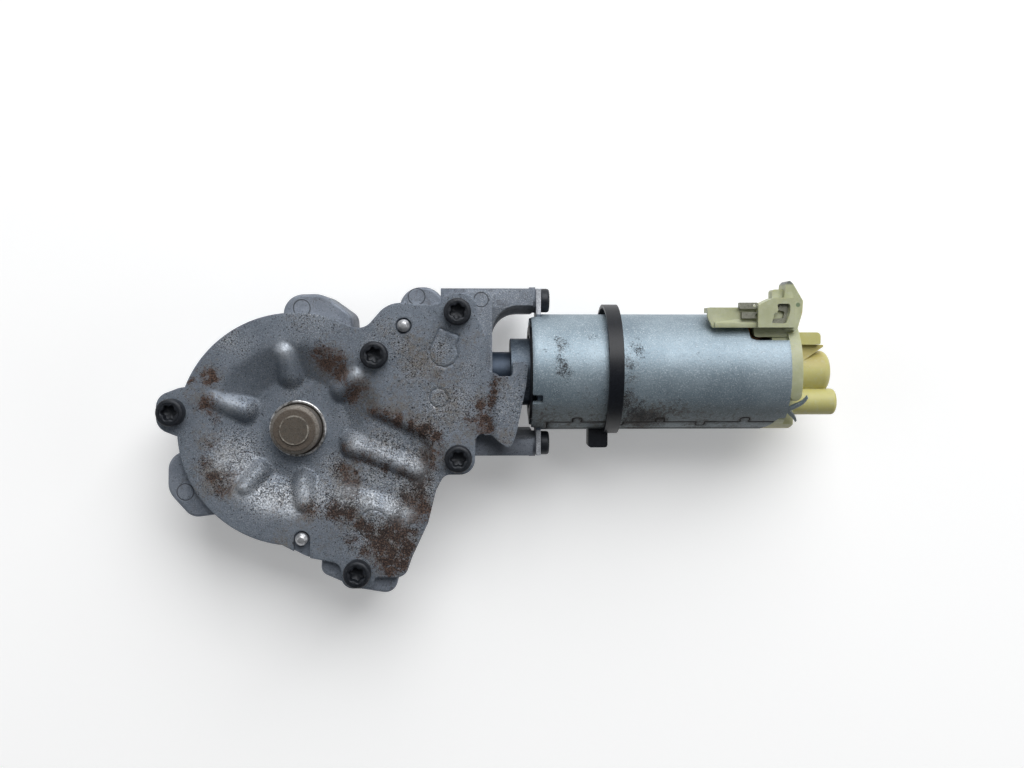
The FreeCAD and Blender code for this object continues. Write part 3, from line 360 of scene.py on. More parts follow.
def trimmedGrid(keep, cut, spacing, extra=()):
    # a square grid of points, cut to the union of the loops in keep less those in cut, and joined up by
    # triangles whose edges follow every loop; extra rows of points lie beside fine lines
    loops = list(keep) + list(cut)
    everything = np.vstack(keep)
    across = [np.linspace(a, b, max(2, int((b - a) / spacing) + 1))
              for a, b in zip(everything.min(0), everything.max(0))]
    grid = np.stack(np.meshgrid(*across), -1).reshape(-1, 2)
    near = np.min([distanceTo(grid, loop) for loop in loops], axis=0)
    grid = grid[near > spacing * 0.42]
    for rows in extra:
        clear = distanceTo(grid, rows, False)
        grid = grid[clear > spacing * 0.6]
    points = np.vstack(loops + list(extra) + [grid])
    starts = np.cumsum([0] + [len(loop) for loop in loops])
    edges = np.vstack([np.column_stack([np.arange(len(loop)), np.roll(np.arange(len(loop)), -1)]) + s
                       for loop, s in zip(loops, starts)])
    found = delaunay_2d_cdt([Vector(p) for p in points.tolist()], edges.tolist(), [], 0, 1e-5, False)
    verts = np.array([v[:] for v in found[0]])
    faces = np.array(found[2])
    middle = verts[faces].mean(1)
    kept = np.any([inside(middle, loop) for loop in keep], axis=0)
    for loop in cut:
        kept &= ~inside(middle, loop)
    faces = faces[kept]
    a, b, c = (verts[faces[:, k]] for k in range(3))
    turned = (b[:, 0] - a[:, 0]) * (c[:, 1] - a[:, 1]) - (b[:, 1] - a[:, 1]) * (c[:, 0] - a[:, 0]) < 0
    faces[turned] = faces[turned][:, ::-1]
    used, index = np.unique(faces, return_inverse=True)
    return verts[used], index.reshape(faces.shape)


def ramp(t):
    t = np.clip(t, 0, 1)
    return t * t * (3 - 2 * t)


def softMax(a, b, blend):
    share = np.clip(0.5 + 0.5 * (a - b) / blend, 0, 1)
    return b + (a - b) * share + blend * share * (1 - share)


def gridQuads(rows, columns, closed=False):
    # quads over rows of points, each row closed in itself; closed also joins the last row to the first
    i, k = np.meshgrid(np.arange(rows if closed else rows - 1), np.arange(columns), indexing="ij")
    ahead, beside = (i + 1) % rows, (k + 1) % columns
    corners = [i * columns + k, i * columns + beside, ahead * columns + beside, ahead * columns + k]
    return np.stack(corners, -1).reshape(-1, 4)


def lathe(profile, around, turns=None):
    # the profile's rows (radius, height) carried round Z; a radius may differ with the angle through turns
    rows = np.array(profile, float)
    angle = np.linspace(0, 2 * np.pi, around, endpoint=False)
    radius = rows[:, :1] * np.ones(around)
    if turns is not None:
        radius = turns(radius, angle)
    points = np.stack([radius * np.cos(angle), radius * np.sin(angle),
                       rows[:, 1:2] * np.ones(around)], -1).reshape(-1, 3)
    quads = gridQuads(len(rows), around)
    first, last = len(points), len(points) + 1
    points = np.vstack([points, [[0, 0, rows[0, 1]], [0, 0, rows[-1, 1]]]])
    k = np.arange(around)
    tail = (len(rows) - 1) * around
    caps = np.vstack([np.column_stack([np.full(around, first), (k + 1) % around, k]),
                      np.column_stack([np.full(around, last), tail + k, tail + (k + 1) % around])])
    return points, quads.tolist() + caps.tolist()


def setAttribute(piece, name, values):
    layer = piece.data.attributes.new(name, "FLOAT", "POINT")
    layer.data.foreach_set("value", np.asarray(values, np.float32))


# cover plate: one stamped sheet worked out as a height over the plan view

cover = {
    "top": 27.0, "thick": 2.0, "spacing": 0.62, "edge": 0.35,
    "disc": 37.1, "hole": 9.18, "screwHole": 2.75, "pinHole": 2.6,
    # dish: where the wall would meet the floor and the flat, and the radius of the press there
    "dishDepth": 6.0, "dishFoot": (16.4, 1.2), "dishRim": (27.8, 9.0),
    "valleyDepth": 3.0, "valleySlope": (4.0, 6.4),        # run of the upper and of the lower side wall
    "tongueStart": 61.6, "tongueBend": 2.6, "tongueLift": 1.4,
    "right": [(8.0, 24.0, 0), (15.0, 33.4, 6), (21.8, 31.6, 9), (29.6, 40.6, 9), (45.0, 39.4, 6),
              (50.0, 43.6, 5), (57.2, 43.0, 5.6), (58.0, 35.0, 6), (60.9, 29.0, 5), (60.4, 19.4, 2.4),
              (63.8, 16.9, 1.5),
              (63.6, -1.9, 1.5), (57.2, -1.2, 2.5), (56.9, -14.6, 5.2), (47.2, -14.6, 3), (44.6, -19.5, 8),
              (42.0, -30.0, 4), (36.8, -41.2, 6), (34.6, -47.6, 4), (24.6, -47.4, 3), (24.4, -51.0, 5),
              (14.2, -51.0, 5.2), (14.2, -43.0, 3), (3.0, -40.8, 8), (-6.0, -36.0, 2), (-2.0, -20.0, 0)],
    "lobe": [(-30.0, 14.0, 0), (-36.2, 13.4, 4), (-43.6, 10.6, 5.0), (-43.7, 0.6, 5.1), (-37.2, -2.0, 3),
             (-30.0, -3.0, 0)],
    "tongue": [(60.0, 16.9, 0), (69.0, 16.9, 1), (69.0, 21.6, 0.8), (74.1, 21.2, 1.2), (73.3, 13.7, 8),
               (70.3, -1.0, 10), (68.3, -6.6, 1.6), (64.9, -4.2, 2), (62.4, -1.9, 1), (60.0, -1.9, 0)],
    "valley": [(8.0, 7.0, 0), (18.0, 10.2, 6), (44.4, -2.2, 7), (43.6, -16.0, 7), (37.6, -30.2, 7),
               (8.0, -20.6, 6), (2.0, -16.0, 0)],
    "screws": [(-38.5, 5.7), (25.2, 23.7), (51.5, 37.4), (51.7, -9.3), (19.5, -45.8)],
    "roundPin": (34.4, 33.0), "slotPin": (1.8, -34.9), "slotReach": 8.0,
    # ribs: direction in degrees, inner and outer end, width
    "ribs": [(98, 13.2, 28.2, 7.8), (42, 14.8, 28.6, 7.4), (160, 13.6, 31.0, 8.2), (228, 14.6, 27.8, 7.0),
             (276, 13.2, 27.2, 7.4)],
    "ribFoot": 21.0, "ribEnd": 25.8, "ribRise": 3.0,
    "longRib": [(15.2, -4.3), (41.0, -14.4)], "longRibWidth": 7.0, "longRibRise": 2.4,
    "marks": [(45.5, 9.9, 3.0), (24.4, -30.7, 4.8)], "markDepth": 0.3, "markWidth": 0.22,
    "keyMark": [(43.2, 26.9), (44.4, 29.2), (45.7, 32.4), (52.15, 29.8), (51.0, 26.4), (51.7, 23.6),
                (50.3, 20.9), (47.6, 19.7), (44.8, 20.4), (42.8, 22.6), (42.6, 25.4)],
    "fineRows": (-0.4, -0.18, 0, 0.18, 0.4),              # rows of points beside each pressed line
}


def ribHeight(x, y, start, end, startZ, endZ, width, rise):
    # height of a round-topped rib: the line between its ends, raised by a parabola over its half width
    ax, ay = start
    bx, by = end
    length = math.hypot(bx - ax, by - ay)
    ux, uy = (bx - ax) / length, (by - ay) / length
    half = width / 2
    along = (x - ax) * ux + (y - ay) * uy
    across = -(x - ax) * uy + (y - ay) * ux
    held = np.clip(along, half, length - half)
    away = np.hypot(along - held, across) / half
    return startZ + (endZ - startZ) * np.clip(along / length, 0, 1) + rise * (1 - away ** 2)


def dishProfile():
    # the dish's section as rows (radius, depth): floor, arc, straight wall, arc, flat
    (foot, footArc), (rim, rimArc) = cover["dishFoot"], cover["dishRim"]
    low = -cover["dishDepth"]
    loop = roundedLoop([(-20, low, 0), (foot, low, footArc), (rim, 0, rimArc), (60, 0, 0), (60, 20, 0),
                        (-20, 20, 0)], 0.15)
    rows = loop[loop[:, 1] < 0.001]
    return rows[np.argsort(rows[:, 0])].T


def coverHeight(points, loops):
    # the lower of dish and valley, with each rib's height over it, the pressed lines and the tongue's step
    x, y = points.T
    radius, depth = dishProfile()
    dish = -np.interp(np.hypot(x, y), radius, depth)
    (ax, ay), (bx, by) = cover["longRib"]
    below = ay + (by - ay) / (bx - ax) * (x - ax) - y
    upper, lower = cover["valleySlope"]
    slope = upper + (lower - upper) * ramp((below - 1) / 5)
    valley = cover["valleyDepth"] * ramp(depthInside(points, loops["valley"]) / slope)
    z = cover["top"] - softMax(dish, valley, 0.8)
    for angle, inner, outer, width in cover["ribs"]:
        turn = np.array([math.cos(math.radians(angle)), math.sin(math.radians(angle))])
        rib = ribHeight(x, y, turn * inner, turn * outer, cover["ribFoot"], cover["ribEnd"], width,
                        cover["ribRise"])
        z = softMax(z, rib, 1.0)
    floor = cover["top"] - cover["valleyDepth"]
    rib = ribHeight(x, y, (ax, ay), (bx, by), floor, floor, cover["longRibWidth"], cover["longRibRise"])
    z = softMax(z, rib, 0.7)
    for mx, my, mr in cover["marks"]:
        z -= cover["markDepth"] * np.exp(-((np.hypot(x - mx, y - my) - mr) / cover["markWidth"]) ** 2)
    z -= cover["markDepth"] * np.exp(-(distanceTo(points, loops["key"]) / cover["markWidth"]) ** 2)
    lift = ramp((x - cover["tongueStart"]) / cover["tongueBend"]) * (y < 24) * (y > -8)
    z += cover["tongueLift"] * lift
    return z


def makeCoverSheet(material):
    x, y = cover["slotPin"]
    hole = cover["pinHole"]
    slot = roundedLoop([(x - hole, y - cover["slotReach"], 0), (x + hole, y - cover["slotReach"], 0),
                        (x + hole, y + hole, hole), (x - hole, y + hole, hole)], 0.4)
    loops = {
        "valley": roundedLoop(cover["valley"], 1.0),
        "key": roundedLoop([(a, b, 0.9) for a, b in cover["keyMark"]], 0.35),
    }
    keep = [circleLoop(0, 0, cover["disc"], 0.6), roundedLoop(cover["right"]), roundedLoop(cover["lobe"]),
            roundedLoop(cover["tongue"])]
    cut = [circleLoop(0, 0, cover["hole"], 0.5), slot, circleLoop(*cover["roundPin"], hole)]
    cut += [circleLoop(sx, sy, cover["screwHole"], 0.5) for sx, sy in cover["screws"]]
    fine = []
    for mx, my, mr in cover["marks"]:
        fine += [circleLoop(mx, my, mr + d, 0.42) for d in cover["fineRows"]]
    key = loops["key"]
    fine += besideLine(key, np.roll(key, -1, axis=0) - np.roll(key, 1, axis=0), cover["fineRows"])
    flat, faces = trimmedGrid(keep, cut, cover["spacing"], fine)
    z = coverHeight(flat, loops)
    piece = putMesh("cover_sheet", np.column_stack([flat, z]), faces, material,
                    smooth=50)
    for name, rows in markRows(coverPicks, coverSpots, onLevel, pixelsPerMm["cover"]).items():
        setAttribute(piece, name, spread(flat, rows))
    pressSheet(piece, cover)
    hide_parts("cover_plate")
    return piece


pixelsPerMm = {"cover": 3.03, "can": 3.1}
tongueRise = 0.5                              # the tongue's picks lie on a level this far above the rest

# where rust, ochre film and dark flecks lie thickest in the photo, listed: mark, level, and rows of
# u, v and reach in the photo's pixels, and strength
coverPicks = [
    ("rust", cover["top"], [
        (210, 377, 8, 0.9), (190, 381, 4, 0.8), (206, 404, 7, 1.0), (212, 410, 5, 0.7),
        (318, 356, 9.5, 0.7), (331, 362, 11.5, 0.95), (340, 372, 9.5, 0.9), (326, 350, 8, 0.5),
        (352, 392, 9, 0.9), (347, 400, 7, 0.7), (360, 384, 7, 0.7), (372, 412, 6, 0.5), (385, 417, 6, 0.7),
        (398, 421, 6, 0.9), (412, 426, 6.5, 1.0), (425, 431, 6.5, 1.0), (435, 437, 6, 0.9),
        (347, 448, 7, 0.9), (358, 455, 7, 0.9), (371, 461, 7, 0.7), (386, 467, 7, 0.8), (400, 473, 7, 0.8),
        (414, 478, 7, 0.8), (428, 462, 9, 0.7), (436, 448, 8, 0.6), (423, 480, 8, 0.8), (417, 492, 9, 0.9),
        (408, 502, 9, 0.7), (420, 506, 8, 0.95), (427, 515, 8, 0.8), (351, 478, 8, 0.8), (340, 470, 8, 0.5),
        (350, 496, 9, 0.5), (338, 510, 10, 0.85), (350, 514, 8, 0.7), (325, 512, 9, 0.6),
        (310, 509, 8, 0.55), (360, 525, 9, 0.6), (372, 532, 10, 0.75), (352, 540, 8, 0.5),
        (364, 548, 9, 0.6), (383, 528, 9, 0.75), (397, 524, 9, 0.85), (408, 530, 9, 0.75),
        (380, 545, 9, 0.8), (395, 541, 11, 1.0), (406, 548, 9, 0.85), (386, 560, 10, 0.95),
        (399, 562, 9, 1.0), (376, 556, 8, 0.75), (392, 571, 7, 0.85), (411, 520, 8, 0.8),
        (213, 478, 7, 0.55), (222, 487, 8, 0.65), (231, 474, 8, 0.45), (205, 462, 7, 0.5),
        (210, 446, 7, 0.4), (240, 470, 7, 0.4), (215, 420, 6, 0.4)]),
    ("rust", cover["top"] + tongueRise, [
        (497, 378.5, 4, 0.8), (493, 383.5, 4, 0.9), (493.5, 390.5, 4, 0.9), (491, 400, 5, 1.0),
        (488, 409, 6, 1.0), (481, 407, 6.5, 0.9), (475, 411, 6.5, 0.8), (485, 418, 6.5, 1.0),
        (478, 424, 6.5, 0.8), (488, 427, 6, 0.9), (470, 416, 6.5, 0.6), (503, 377, 4, 0.5),
        (500, 446, 5, 0.5), (480, 432, 5, 0.6)]),
    ("film", cover["top"], [
        (206, 440, 14, 0.7), (212, 478, 16, 1.0), (228, 488, 13, 0.9), (222, 455, 14, 0.6),
        (345, 478, 18, 0.9), (352, 515, 20, 0.7), (372, 405, 16, 0.8), (398, 412, 18, 0.8),
        (425, 425, 18, 0.8), (365, 390, 14, 0.8), (420, 360, 20, 0.9), (412, 345, 16, 0.7),
        (432, 370, 18, 0.8), (445, 395, 18, 0.7), (450, 415, 18, 0.7), (400, 385, 16, 0.5),
        (470, 340, 10, 0.5), (455, 372, 14, 0.5), (434, 330, 12, 0.4), (390, 545, 28, 0.8),
        (415, 500, 20, 0.8), (430, 455, 20, 0.7), (380, 440, 18, 0.5), (305, 512, 16, 0.8),
        (275, 505, 14, 0.6), (285, 543, 14, 0.7), (300, 540, 12, 0.5), (330, 540, 16, 0.4),
        (330, 365, 22, 0.7), (205, 400, 16, 0.6), (208, 378, 14, 0.6), (300, 320, 16, 0.3),
        (190, 395, 10, 0.5), (470, 430, 14, 0.7), (480, 400, 12, 0.6), (460, 440, 12, 0.6),
        (350, 330, 14, 0.3), (385, 330, 12, 0.4)]),
    ("fleck", cover["top"], [
        (235, 455, 20, 0.9), (220, 470, 16, 0.8), (258, 478, 16, 0.6), (262, 495, 18, 0.9),
        (285, 497, 16, 0.9), (305, 485, 14, 0.6), (320, 497, 16, 0.8), (345, 500, 20, 0.9),
        (370, 504, 14, 0.8), (395, 507, 14, 0.9), (385, 450, 22, 0.7), (355, 440, 12, 0.6),
        (412, 460, 16, 0.8), (420, 485, 18, 0.9), (330, 470, 14, 0.7), (375, 480, 20, 0.7),
        (400, 490, 18, 0.8), (375, 530, 26, 0.7), (400, 545, 24, 0.6), (228, 340, 12, 0.6),
        (290, 390, 10, 0.4), (250, 410, 8, 0.5), (385, 328, 10, 0.5), (400, 345, 14, 0.5),
        (372, 345, 10, 0.5), (415, 370, 16, 0.5), (440, 410, 22, 0.6), (460, 400, 18, 0.6),
        (425, 430, 14, 0.8), (345, 420, 12, 0.4), (470, 370, 12, 0.4), (310, 315, 22, 0.5),
        (240, 345, 14, 0.4), (440, 348, 10, 0.6), (435, 360, 10, 0.5)]),
]

# marks placed in millimetres: x, y, reach and strength
coverSpots = {
    "film": [(66.0, 14.0, 3.0, 0.6), (66.5, -2.0, 4.0, 0.7)],
    "fleck": [(68.0, 8.0, 7.0, 0.5)],
    # painted highlight where the sheet faces the light: the ribs' ends, the long rib, and the slopes that
    # rise towards the viewer's side
    "painted_highlight": [
        (-3.6, 25.2, 2.3, 1.0), (19.3, 17.4, 2.0, 0.9), (-20.7, 7.5, 2.6, 0.5), (2.1, -19.9, 2.6, 0.6),
        (19.0, -5.2, 2.6, 0.8), (26.0, -8.2, 2.4, 0.5), (33.0, -11.0, 2.5, 0.6), (38.5, -13.0, 2.5, 0.8),
        (16.0, -20.5, 2.5, 0.6), (23.0, -23.0, 2.5, 0.7), (30.0, -25.5, 2.5, 0.8), (35.0, -27.5, 2.2, 0.7),
        (-16.0, -20.0, 3.2, 0.6), (-9.0, -23.5, 3.2, 0.7), (-2.0, -25.0, 3.0, 0.5), (-22.0, -9.0, 3.3, 0.6),
        (-17.0, -13.0, 3.3, 0.6)],
}
spreadReach = 1.2


def markRows(picks, spots, find, scale):
    # every mark's rows in millimetres: the picks, found on their level or cylinder, and the spots
    marks = {name: list(rows) for name, rows in spots.items()}
    for name, level, rows in picks:
        marks.setdefault(name, []).extend(
            (*find(u, v, level), reach / scale, strength) for u, v, reach, strength in rows)
    return marks


def spread(points, rows):
    # the strongest mark at each point, each falling off as exp(-(distance / (reach * spreadReach))^2)
    x, y, reach, level = np.array(rows).T
    away = np.hypot(points[:, :1] - x, points[:, 1:2] - y)
    return (level * np.exp(-(away / (reach * spreadReach)) ** 2)).max(1)


def coverPaint():
    p = Paint("stamped cover")
    rustLevel, filmLevel, fleckLevel = (p.attribute(name) for name in ("rust", "film", "fleck"))
    cloud = p.noise(0.06, 4, 0.6)
    mottle = p.noise(0.45, 5, 0.7)
    grain = p.noise(2.4, 4, 0.75)
    fine = p.noise(5.5, 2, 0.6)
    zinc = p.mix(p.soft(cloud, 0.3, 0.7), (0.140, 0.168, 0.208), (0.20, 0.235, 0.285))
    zinc = p.mix(p.soft(mottle, 0.35, 0.7) * 0.5, zinc, (0.245, 0.28, 0.33))
    zinc = p.mix(p.soft(grain, 0.52, 0.72) * 0.55, zinc, (0.44, 0.47, 0.51))
    # film, rust and flecks each show where a noise passes a level that their marks lower
    film = p.soft(p.noise(0.7, 5, 0.72, 0.4, shift=2) + filmLevel * 0.36, 0.56, 0.90)
    film = film * (0.45 + p.soft(p.noise(2.8, 3, 0.7, shift=7), 0.38, 0.62) * 0.55)
    broken = p.soft(p.noise(0.30, 5, 0.7, 0.8, shift=17), 0.36, 0.60)
    rustHere = rustLevel * (0.36 + broken * 0.95)
    rust = p.soft(p.noise(1.35, 6, 0.85, 0.5, shift=3) + rustHere * 0.30 + filmLevel * 0.08, 0.625, 0.75)
    stain = p.soft(p.noise(0.5, 5, 0.75, 0.5, shift=37) + rustHere * 0.40 + filmLevel * 0.12, 0.60, 0.98)
    fleck = p.soft(p.noise(1.9, 4, 0.75, shift=21) + fleckLevel * 0.10 + rustHere * 0.10, 0.600, 0.64)
    dot = p.soft(p.noise(1.05, 4, 0.7, shift=12) + fleckLevel * 0.06 + filmLevel * 0.03, 0.640, 0.67)
    worn = p.soft(p.noise(2.4, 4, 0.8, shift=31) + fleckLevel * 0.10, 0.53, 0.64)
    color = p.mix(worn * (0.25 + fleckLevel * 0.6), zinc, (0.66, 0.68, 0.70))
    color = p.mix(film * 0.75, color, (0.170, 0.128, 0.078))
    color = p.mix(stain * 0.75, color, (0.095, 0.070, 0.060))
    grit = p.soft(p.noise(3.4, 3, 0.6, shift=5), 0.35, 0.65)
    rustColor = p.mix(grit, (0.034, 0.020, 0.017), (0.175, 0.105, 0.075))
    color = p.mix(rust * 0.93, color, rustColor)
    color = p.mix(fleck * 0.9, color, (0.022, 0.018, 0.018))
    color = p.mix(dot * 0.9, color, (0.024, 0.021, 0.021))
    dull = film * 0.45 + stain * 0.4 + rust * 0.6
    metal = 0.68 - dull * 0.42
    rough = 0.44 + p.soft(grain, 0.3, 0.8) * 0.14 + dull * 0.30 + fleck * 0.2
    height = grain * 0.55 + rust * 0.6 - fleck * 0.9 - dot * 0.8 + mottle * 0.8 + worn * 0.3
    # painted highlight: the sheet is painted bright where it faces the light, on the ribs' outer ends, the
    # long rib and those slopes
    painted_highlight = p.attribute("painted_highlight")
    highlightPatches = painted_highlight * p.soft(p.noise(1.6, 4, 0.75, shift=41), 0.30, 0.56)
    color = p.mix(highlightPatches * 0.7, color, (0.66, 0.70, 0.75))
    return p.shade(color, rough, metal, height, 0.6, 0.17, (fine, 0.3, 0.05))


# cast housing

castMarks = [(1.9, 38.6, 2.65), (38.4, 42.3, 2.65), (-35.4, -20.1, 2.65), (59.0, 41.3, 2.3)]


def housingPaint():
    p = Paint("cast aluminium")
    cloud = p.noise(0.11, 4, 0.6)
    grain = p.noise(2.2, 5, 0.75)
    sparkle = p.soft(p.noise(3.0, 3, 0.7, shift=6), 0.52, 0.66)
    pits = p.soft(p.noise(2.2, 3, 0.65, shift=4), 0.62, 0.67)
    dirt = p.soft(p.noise(0.24, 5, 0.7, 0.5, shift=9), 0.50, 0.74)
    # painted shade: low darkens the casting towards the bottom, lower darkens its side away from the light
    low = p.soft(p.z, 24.6, 10.0)
    # painted highlight: the flanks beside the motor's cup, which face the light, are painted lighter and
    # with more sparkle than the rest
    across = (p.y - motorY).calc("ABSOLUTE")
    flankHighlight = p.soft(p.x, 61.5, 63.5) * p.soft(across, 22.2, 20.4) * p.soft(p.z, 16.5, 18.5)
    lower = p.soft(p.y, 6.0, -4.0) * p.soft(p.x, 55.0, 62.0)
    color = p.mix(p.soft(cloud, 0.3, 0.7), (0.155, 0.182, 0.225), (0.225, 0.255, 0.305))
    color = p.mix(p.soft(grain, 0.45, 0.8) * 0.45, color, (0.36, 0.385, 0.43))
    color = p.mix(sparkle * (0.16 + flankHighlight * 0.4), color, (0.72, 0.74, 0.77))
    color = p.mix(flankHighlight * 0.6, color, p.mix(sparkle, (0.30, 0.33, 0.37), (0.80, 0.82, 0.85)))
    # painted highlight: the top of the upper arm, on the side towards the light, is painted lighter
    armTopHighlight = p.soft(p.x, 50.0, 60.0) * p.soft(p.z, 17.0, 20.0) * p.soft(p.y, 8.0, 14.0)
    color = p.mix(armTopHighlight * 0.55, color, p.mix(sparkle, (0.24, 0.275, 0.325), (0.66, 0.69, 0.73)))
    color = p.mix(dirt * 0.55, color, (0.085, 0.080, 0.080))
    # painted shade towards the bottom and on the low-y side
    color = p.mix(low * 0.45 + lower * 0.4, color, (0.065, 0.070, 0.080))
    color = p.mix(pits * 0.8, color, (0.035, 0.035, 0.038))
    top = p.soft(p.z, 19.0, 20.0)
    line = 0.0
    for x, y, radius in castMarks:
        line = p.soft((p.away(x, y) - radius).calc("ABSOLUTE"), 0.26, 0.08) * top + line
    color = p.mix(line * 0.75, color, (0.045, 0.048, 0.055))
    rough = 0.48 + dirt * 0.25 + pits * 0.2 + grain * 0.1
    metal = 0.5 - dirt * 0.3
    height = grain * 0.8 - pits + p.noise(0.6, 3, 0.6) * 0.8 - line + sparkle * 0.3
    return p.shade(color, rough, metal, height, 0.6, 0.2)


# motor can: a rolled sheet, worked out on its unrolled length and girth

can = {
    "radius": 19.0, "thick": 1.6, "start": 75.2, "end": 157.2, "spacing": 0.8, "edge": 0.3,
    "earStart": 78.8, "earHalf": 5.9,
    "notch": (-26.0, 3.0, 3.3),               # turn towards the cover's low side, width, length
    "window": [(146.6, 28.4), (144.7, 29.0)], "windowRound": 1.2, "windowLow": 22.0,
    "lug": [(151.5, -0.6), (155.0, 3.2)], "lugLow": 5.0,
    # the seam's knobs: place along the can, and how far they reach round it, up or down
    "seamY": 2.0, "knobs": [(89.8, 2.4), (103.4, -2.3), (116.6, 2.3), (130.0, -2.5), (144.2, 2.5)],
    "knobWidth": 3.4, "seamWidth": 0.22, "seamDepth": 0.45, "seamRows": (-0.36, -0.15, 0, 0.15, 0.36),
    "roll": 0.5,                              # the rim turns in by this much at both ends
}


def girth(y):
    return can["radius"] * math.asin(max(-1.0, min(1.0, (y - motorY) / can["radius"])))


def heightGirth(z, side):
    return side * can["radius"] * math.acos(max(-1.0, min(1.0, (z - motorZ) / can["radius"])))


def makeCan(material):
    half = np.pi * can["radius"]
    quarter = half / 2
    ear = can["radius"] * math.asin(can["earHalf"] / can["radius"])
    turn, width, length = can["notch"]
    middle = can["radius"] * math.radians(turn)
    start, end = can["start"], can["end"]
    (lugX, lugY), (lugEndX, lugEndY) = can["lug"]
    (openX, openY), (shutX, shutY) = can["window"]
    arc, earStart = can["windowRound"], can["earStart"]
    outline = [
        (start, -half, 0), (end, -half, 0),
        (end, heightGirth(can["lugLow"], -1), 0), (lugX, heightGirth(can["lugLow"], -1), 0.6),
        (lugX, girth(lugY), 0.6), (lugEndX, girth(lugEndY), 0.8), (end, girth(lugEndY), 0.2),
        (end, girth(openY), 0.2), (openX, girth(openY), arc), (shutX, girth(shutY), arc),
        (shutX, heightGirth(can["windowLow"], 1), arc), (end, heightGirth(can["windowLow"], 1), 0),
        (end, half, 0), (start, half, 0),
        (start, quarter + ear, 0), (earStart, quarter + ear, 0.6), (earStart, quarter - ear, 0.6),
        (start, quarter - ear, 0.3),
        (start, middle + width / 2, 0.3), (start + length, middle + width / 2, 0.5),
        (start + length, middle - width / 2, 0.5), (start, middle - width / 2, 0.3),
        (start, -quarter + ear, 0.3), (earStart, -quarter + ear, 0.6), (earStart, -quarter - ear, 0.6),
        (start, -quarter - ear, 0),
    ]
    seam = girth(can["seamY"])
    path = [(start + 5, seam, 0)]
    wide = can["knobWidth"] / 2
    for middle, reach in can["knobs"]:
        path += [(middle - wide * 0.55, seam, 0.4), (middle - wide, seam + reach * 0.45, 1.0),
                 (middle - wide * 0.7, seam + reach, 1.0), (middle + wide * 0.7, seam + reach, 1.0),
                 (middle + wide, seam + reach * 0.45, 1.0), (middle + wide * 0.55, seam, 0.4)]
    path += [(end - 0.4, seam, 0), (end - 0.4, seam - 30, 0), (start + 5, seam - 30, 0)]
    path = roundedLoop(path, 0.5)
    path = path[path[:, 1] > seam - 6]
    lengths = np.hypot(*np.diff(path, axis=0).T)
    at = np.concatenate([[0], np.cumsum(lengths)])
    fine = np.linspace(0, at[-1], int(at[-1] / 0.5))
    line = np.column_stack([np.interp(fine, at, path[:, 0]), np.interp(fine, at, path[:, 1])])
    rows = besideLine(line, np.gradient(line, axis=0), can["seamRows"])
    flat, faces = trimmedGrid([roundedLoop(outline, 0.7)], [], can["spacing"], rows)
    x, s = flat.T
    angle = s / can["radius"]
    away = distanceTo(flat, line, False)
    groove = can["seamDepth"] * np.exp(-(away / can["seamWidth"]) ** 2)
    roll = can["roll"] * (1 - ramp((x - start) / 1.2)) * 0.5
    radius = can["radius"] - groove - roll
    points = np.column_stack([x, motorY + radius * np.sin(angle), motorZ + radius * np.cos(angle)])
    piece = putMesh("can_shell", points, faces[:, ::-1], material, smooth=50)
    shown = np.where(points[:, 2:] > motorZ, points[:, :2], -99)
    for name, rows in markRows(canPicks, canSpots, onBarrel, pixelsPerMm["can"]).items():
        setAttribute(piece, name, spread(shown, rows))
    setAttribute(piece, "seam", np.exp(-(away / 0.34) ** 2) + 0.35 * np.exp(-(away / 1.1) ** 2))
    joined = bmesh.new()
    joined.from_mesh(piece.data)
    bmesh.ops.remove_doubles(joined, verts=joined.verts, dist=0.004 * mm)
    bmesh.ops.recalc_face_normals(joined, faces=joined.faces)
    joined.to_mesh(piece.data)
    joined.free()
    pressSheet(piece, can)
    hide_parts("motor_can")
    return piece


prong = {
    "places": [(36.0, 7.8, 1.6), (-48.0, 6.2, -0.5)],     # lean in degrees, length, reach of the curl
    "turn": 40.8, "thick": 1.3, "height": 1.2, "drop": 0.2,
}


def makeProngs(material):
    # each prong is a bar standing on edge, along a short path that curls at its tip and narrows there
    for number, (lean, length, hook) in enumerate(prong["places"]):
        t = np.linspace(0, 1, 9)
        along = -1.0 + (length + 1.0) * t
        curl = hook * np.clip((t - 0.6) / 0.4, 0, 1) ** 2
        thin = 1 - 0.45 * np.clip((t - 0.5) / 0.5, 0, 1)
        side = np.array([(-0.5, -1), (0.5, -1), (0.5, 0), (-0.5, 0)]) * (prong["thick"], prong["height"])
        ring = np.stack([np.repeat(along[:, None], 4, 1), curl[:, None] + side[:, 0] * thin[:, None],
                         np.zeros((9, 1)) + side[:, 1]], -1)
        points = ring.reshape(-1, 3)
        turn = math.radians(lean)
        spin = np.array(Matrix.Rotation(turn, 3, "Z"))
        points = points @ spin.T + (can["end"], 0, can["radius"] - prong["drop"])
        roll = math.radians(prong["turn"])
        lift = np.array(Matrix.Rotation(roll, 3, "X"))
        points = points @ lift.T + (0, motorY, motorZ)
        faces = gridQuads(len(t), 4).tolist() + [[3, 2, 1, 0], [32, 33, 34, 35]]
        piece = putMesh(f"staking_prong_{number + 1}", points, faces, material)
        softEdges(piece, 0.2, 2)
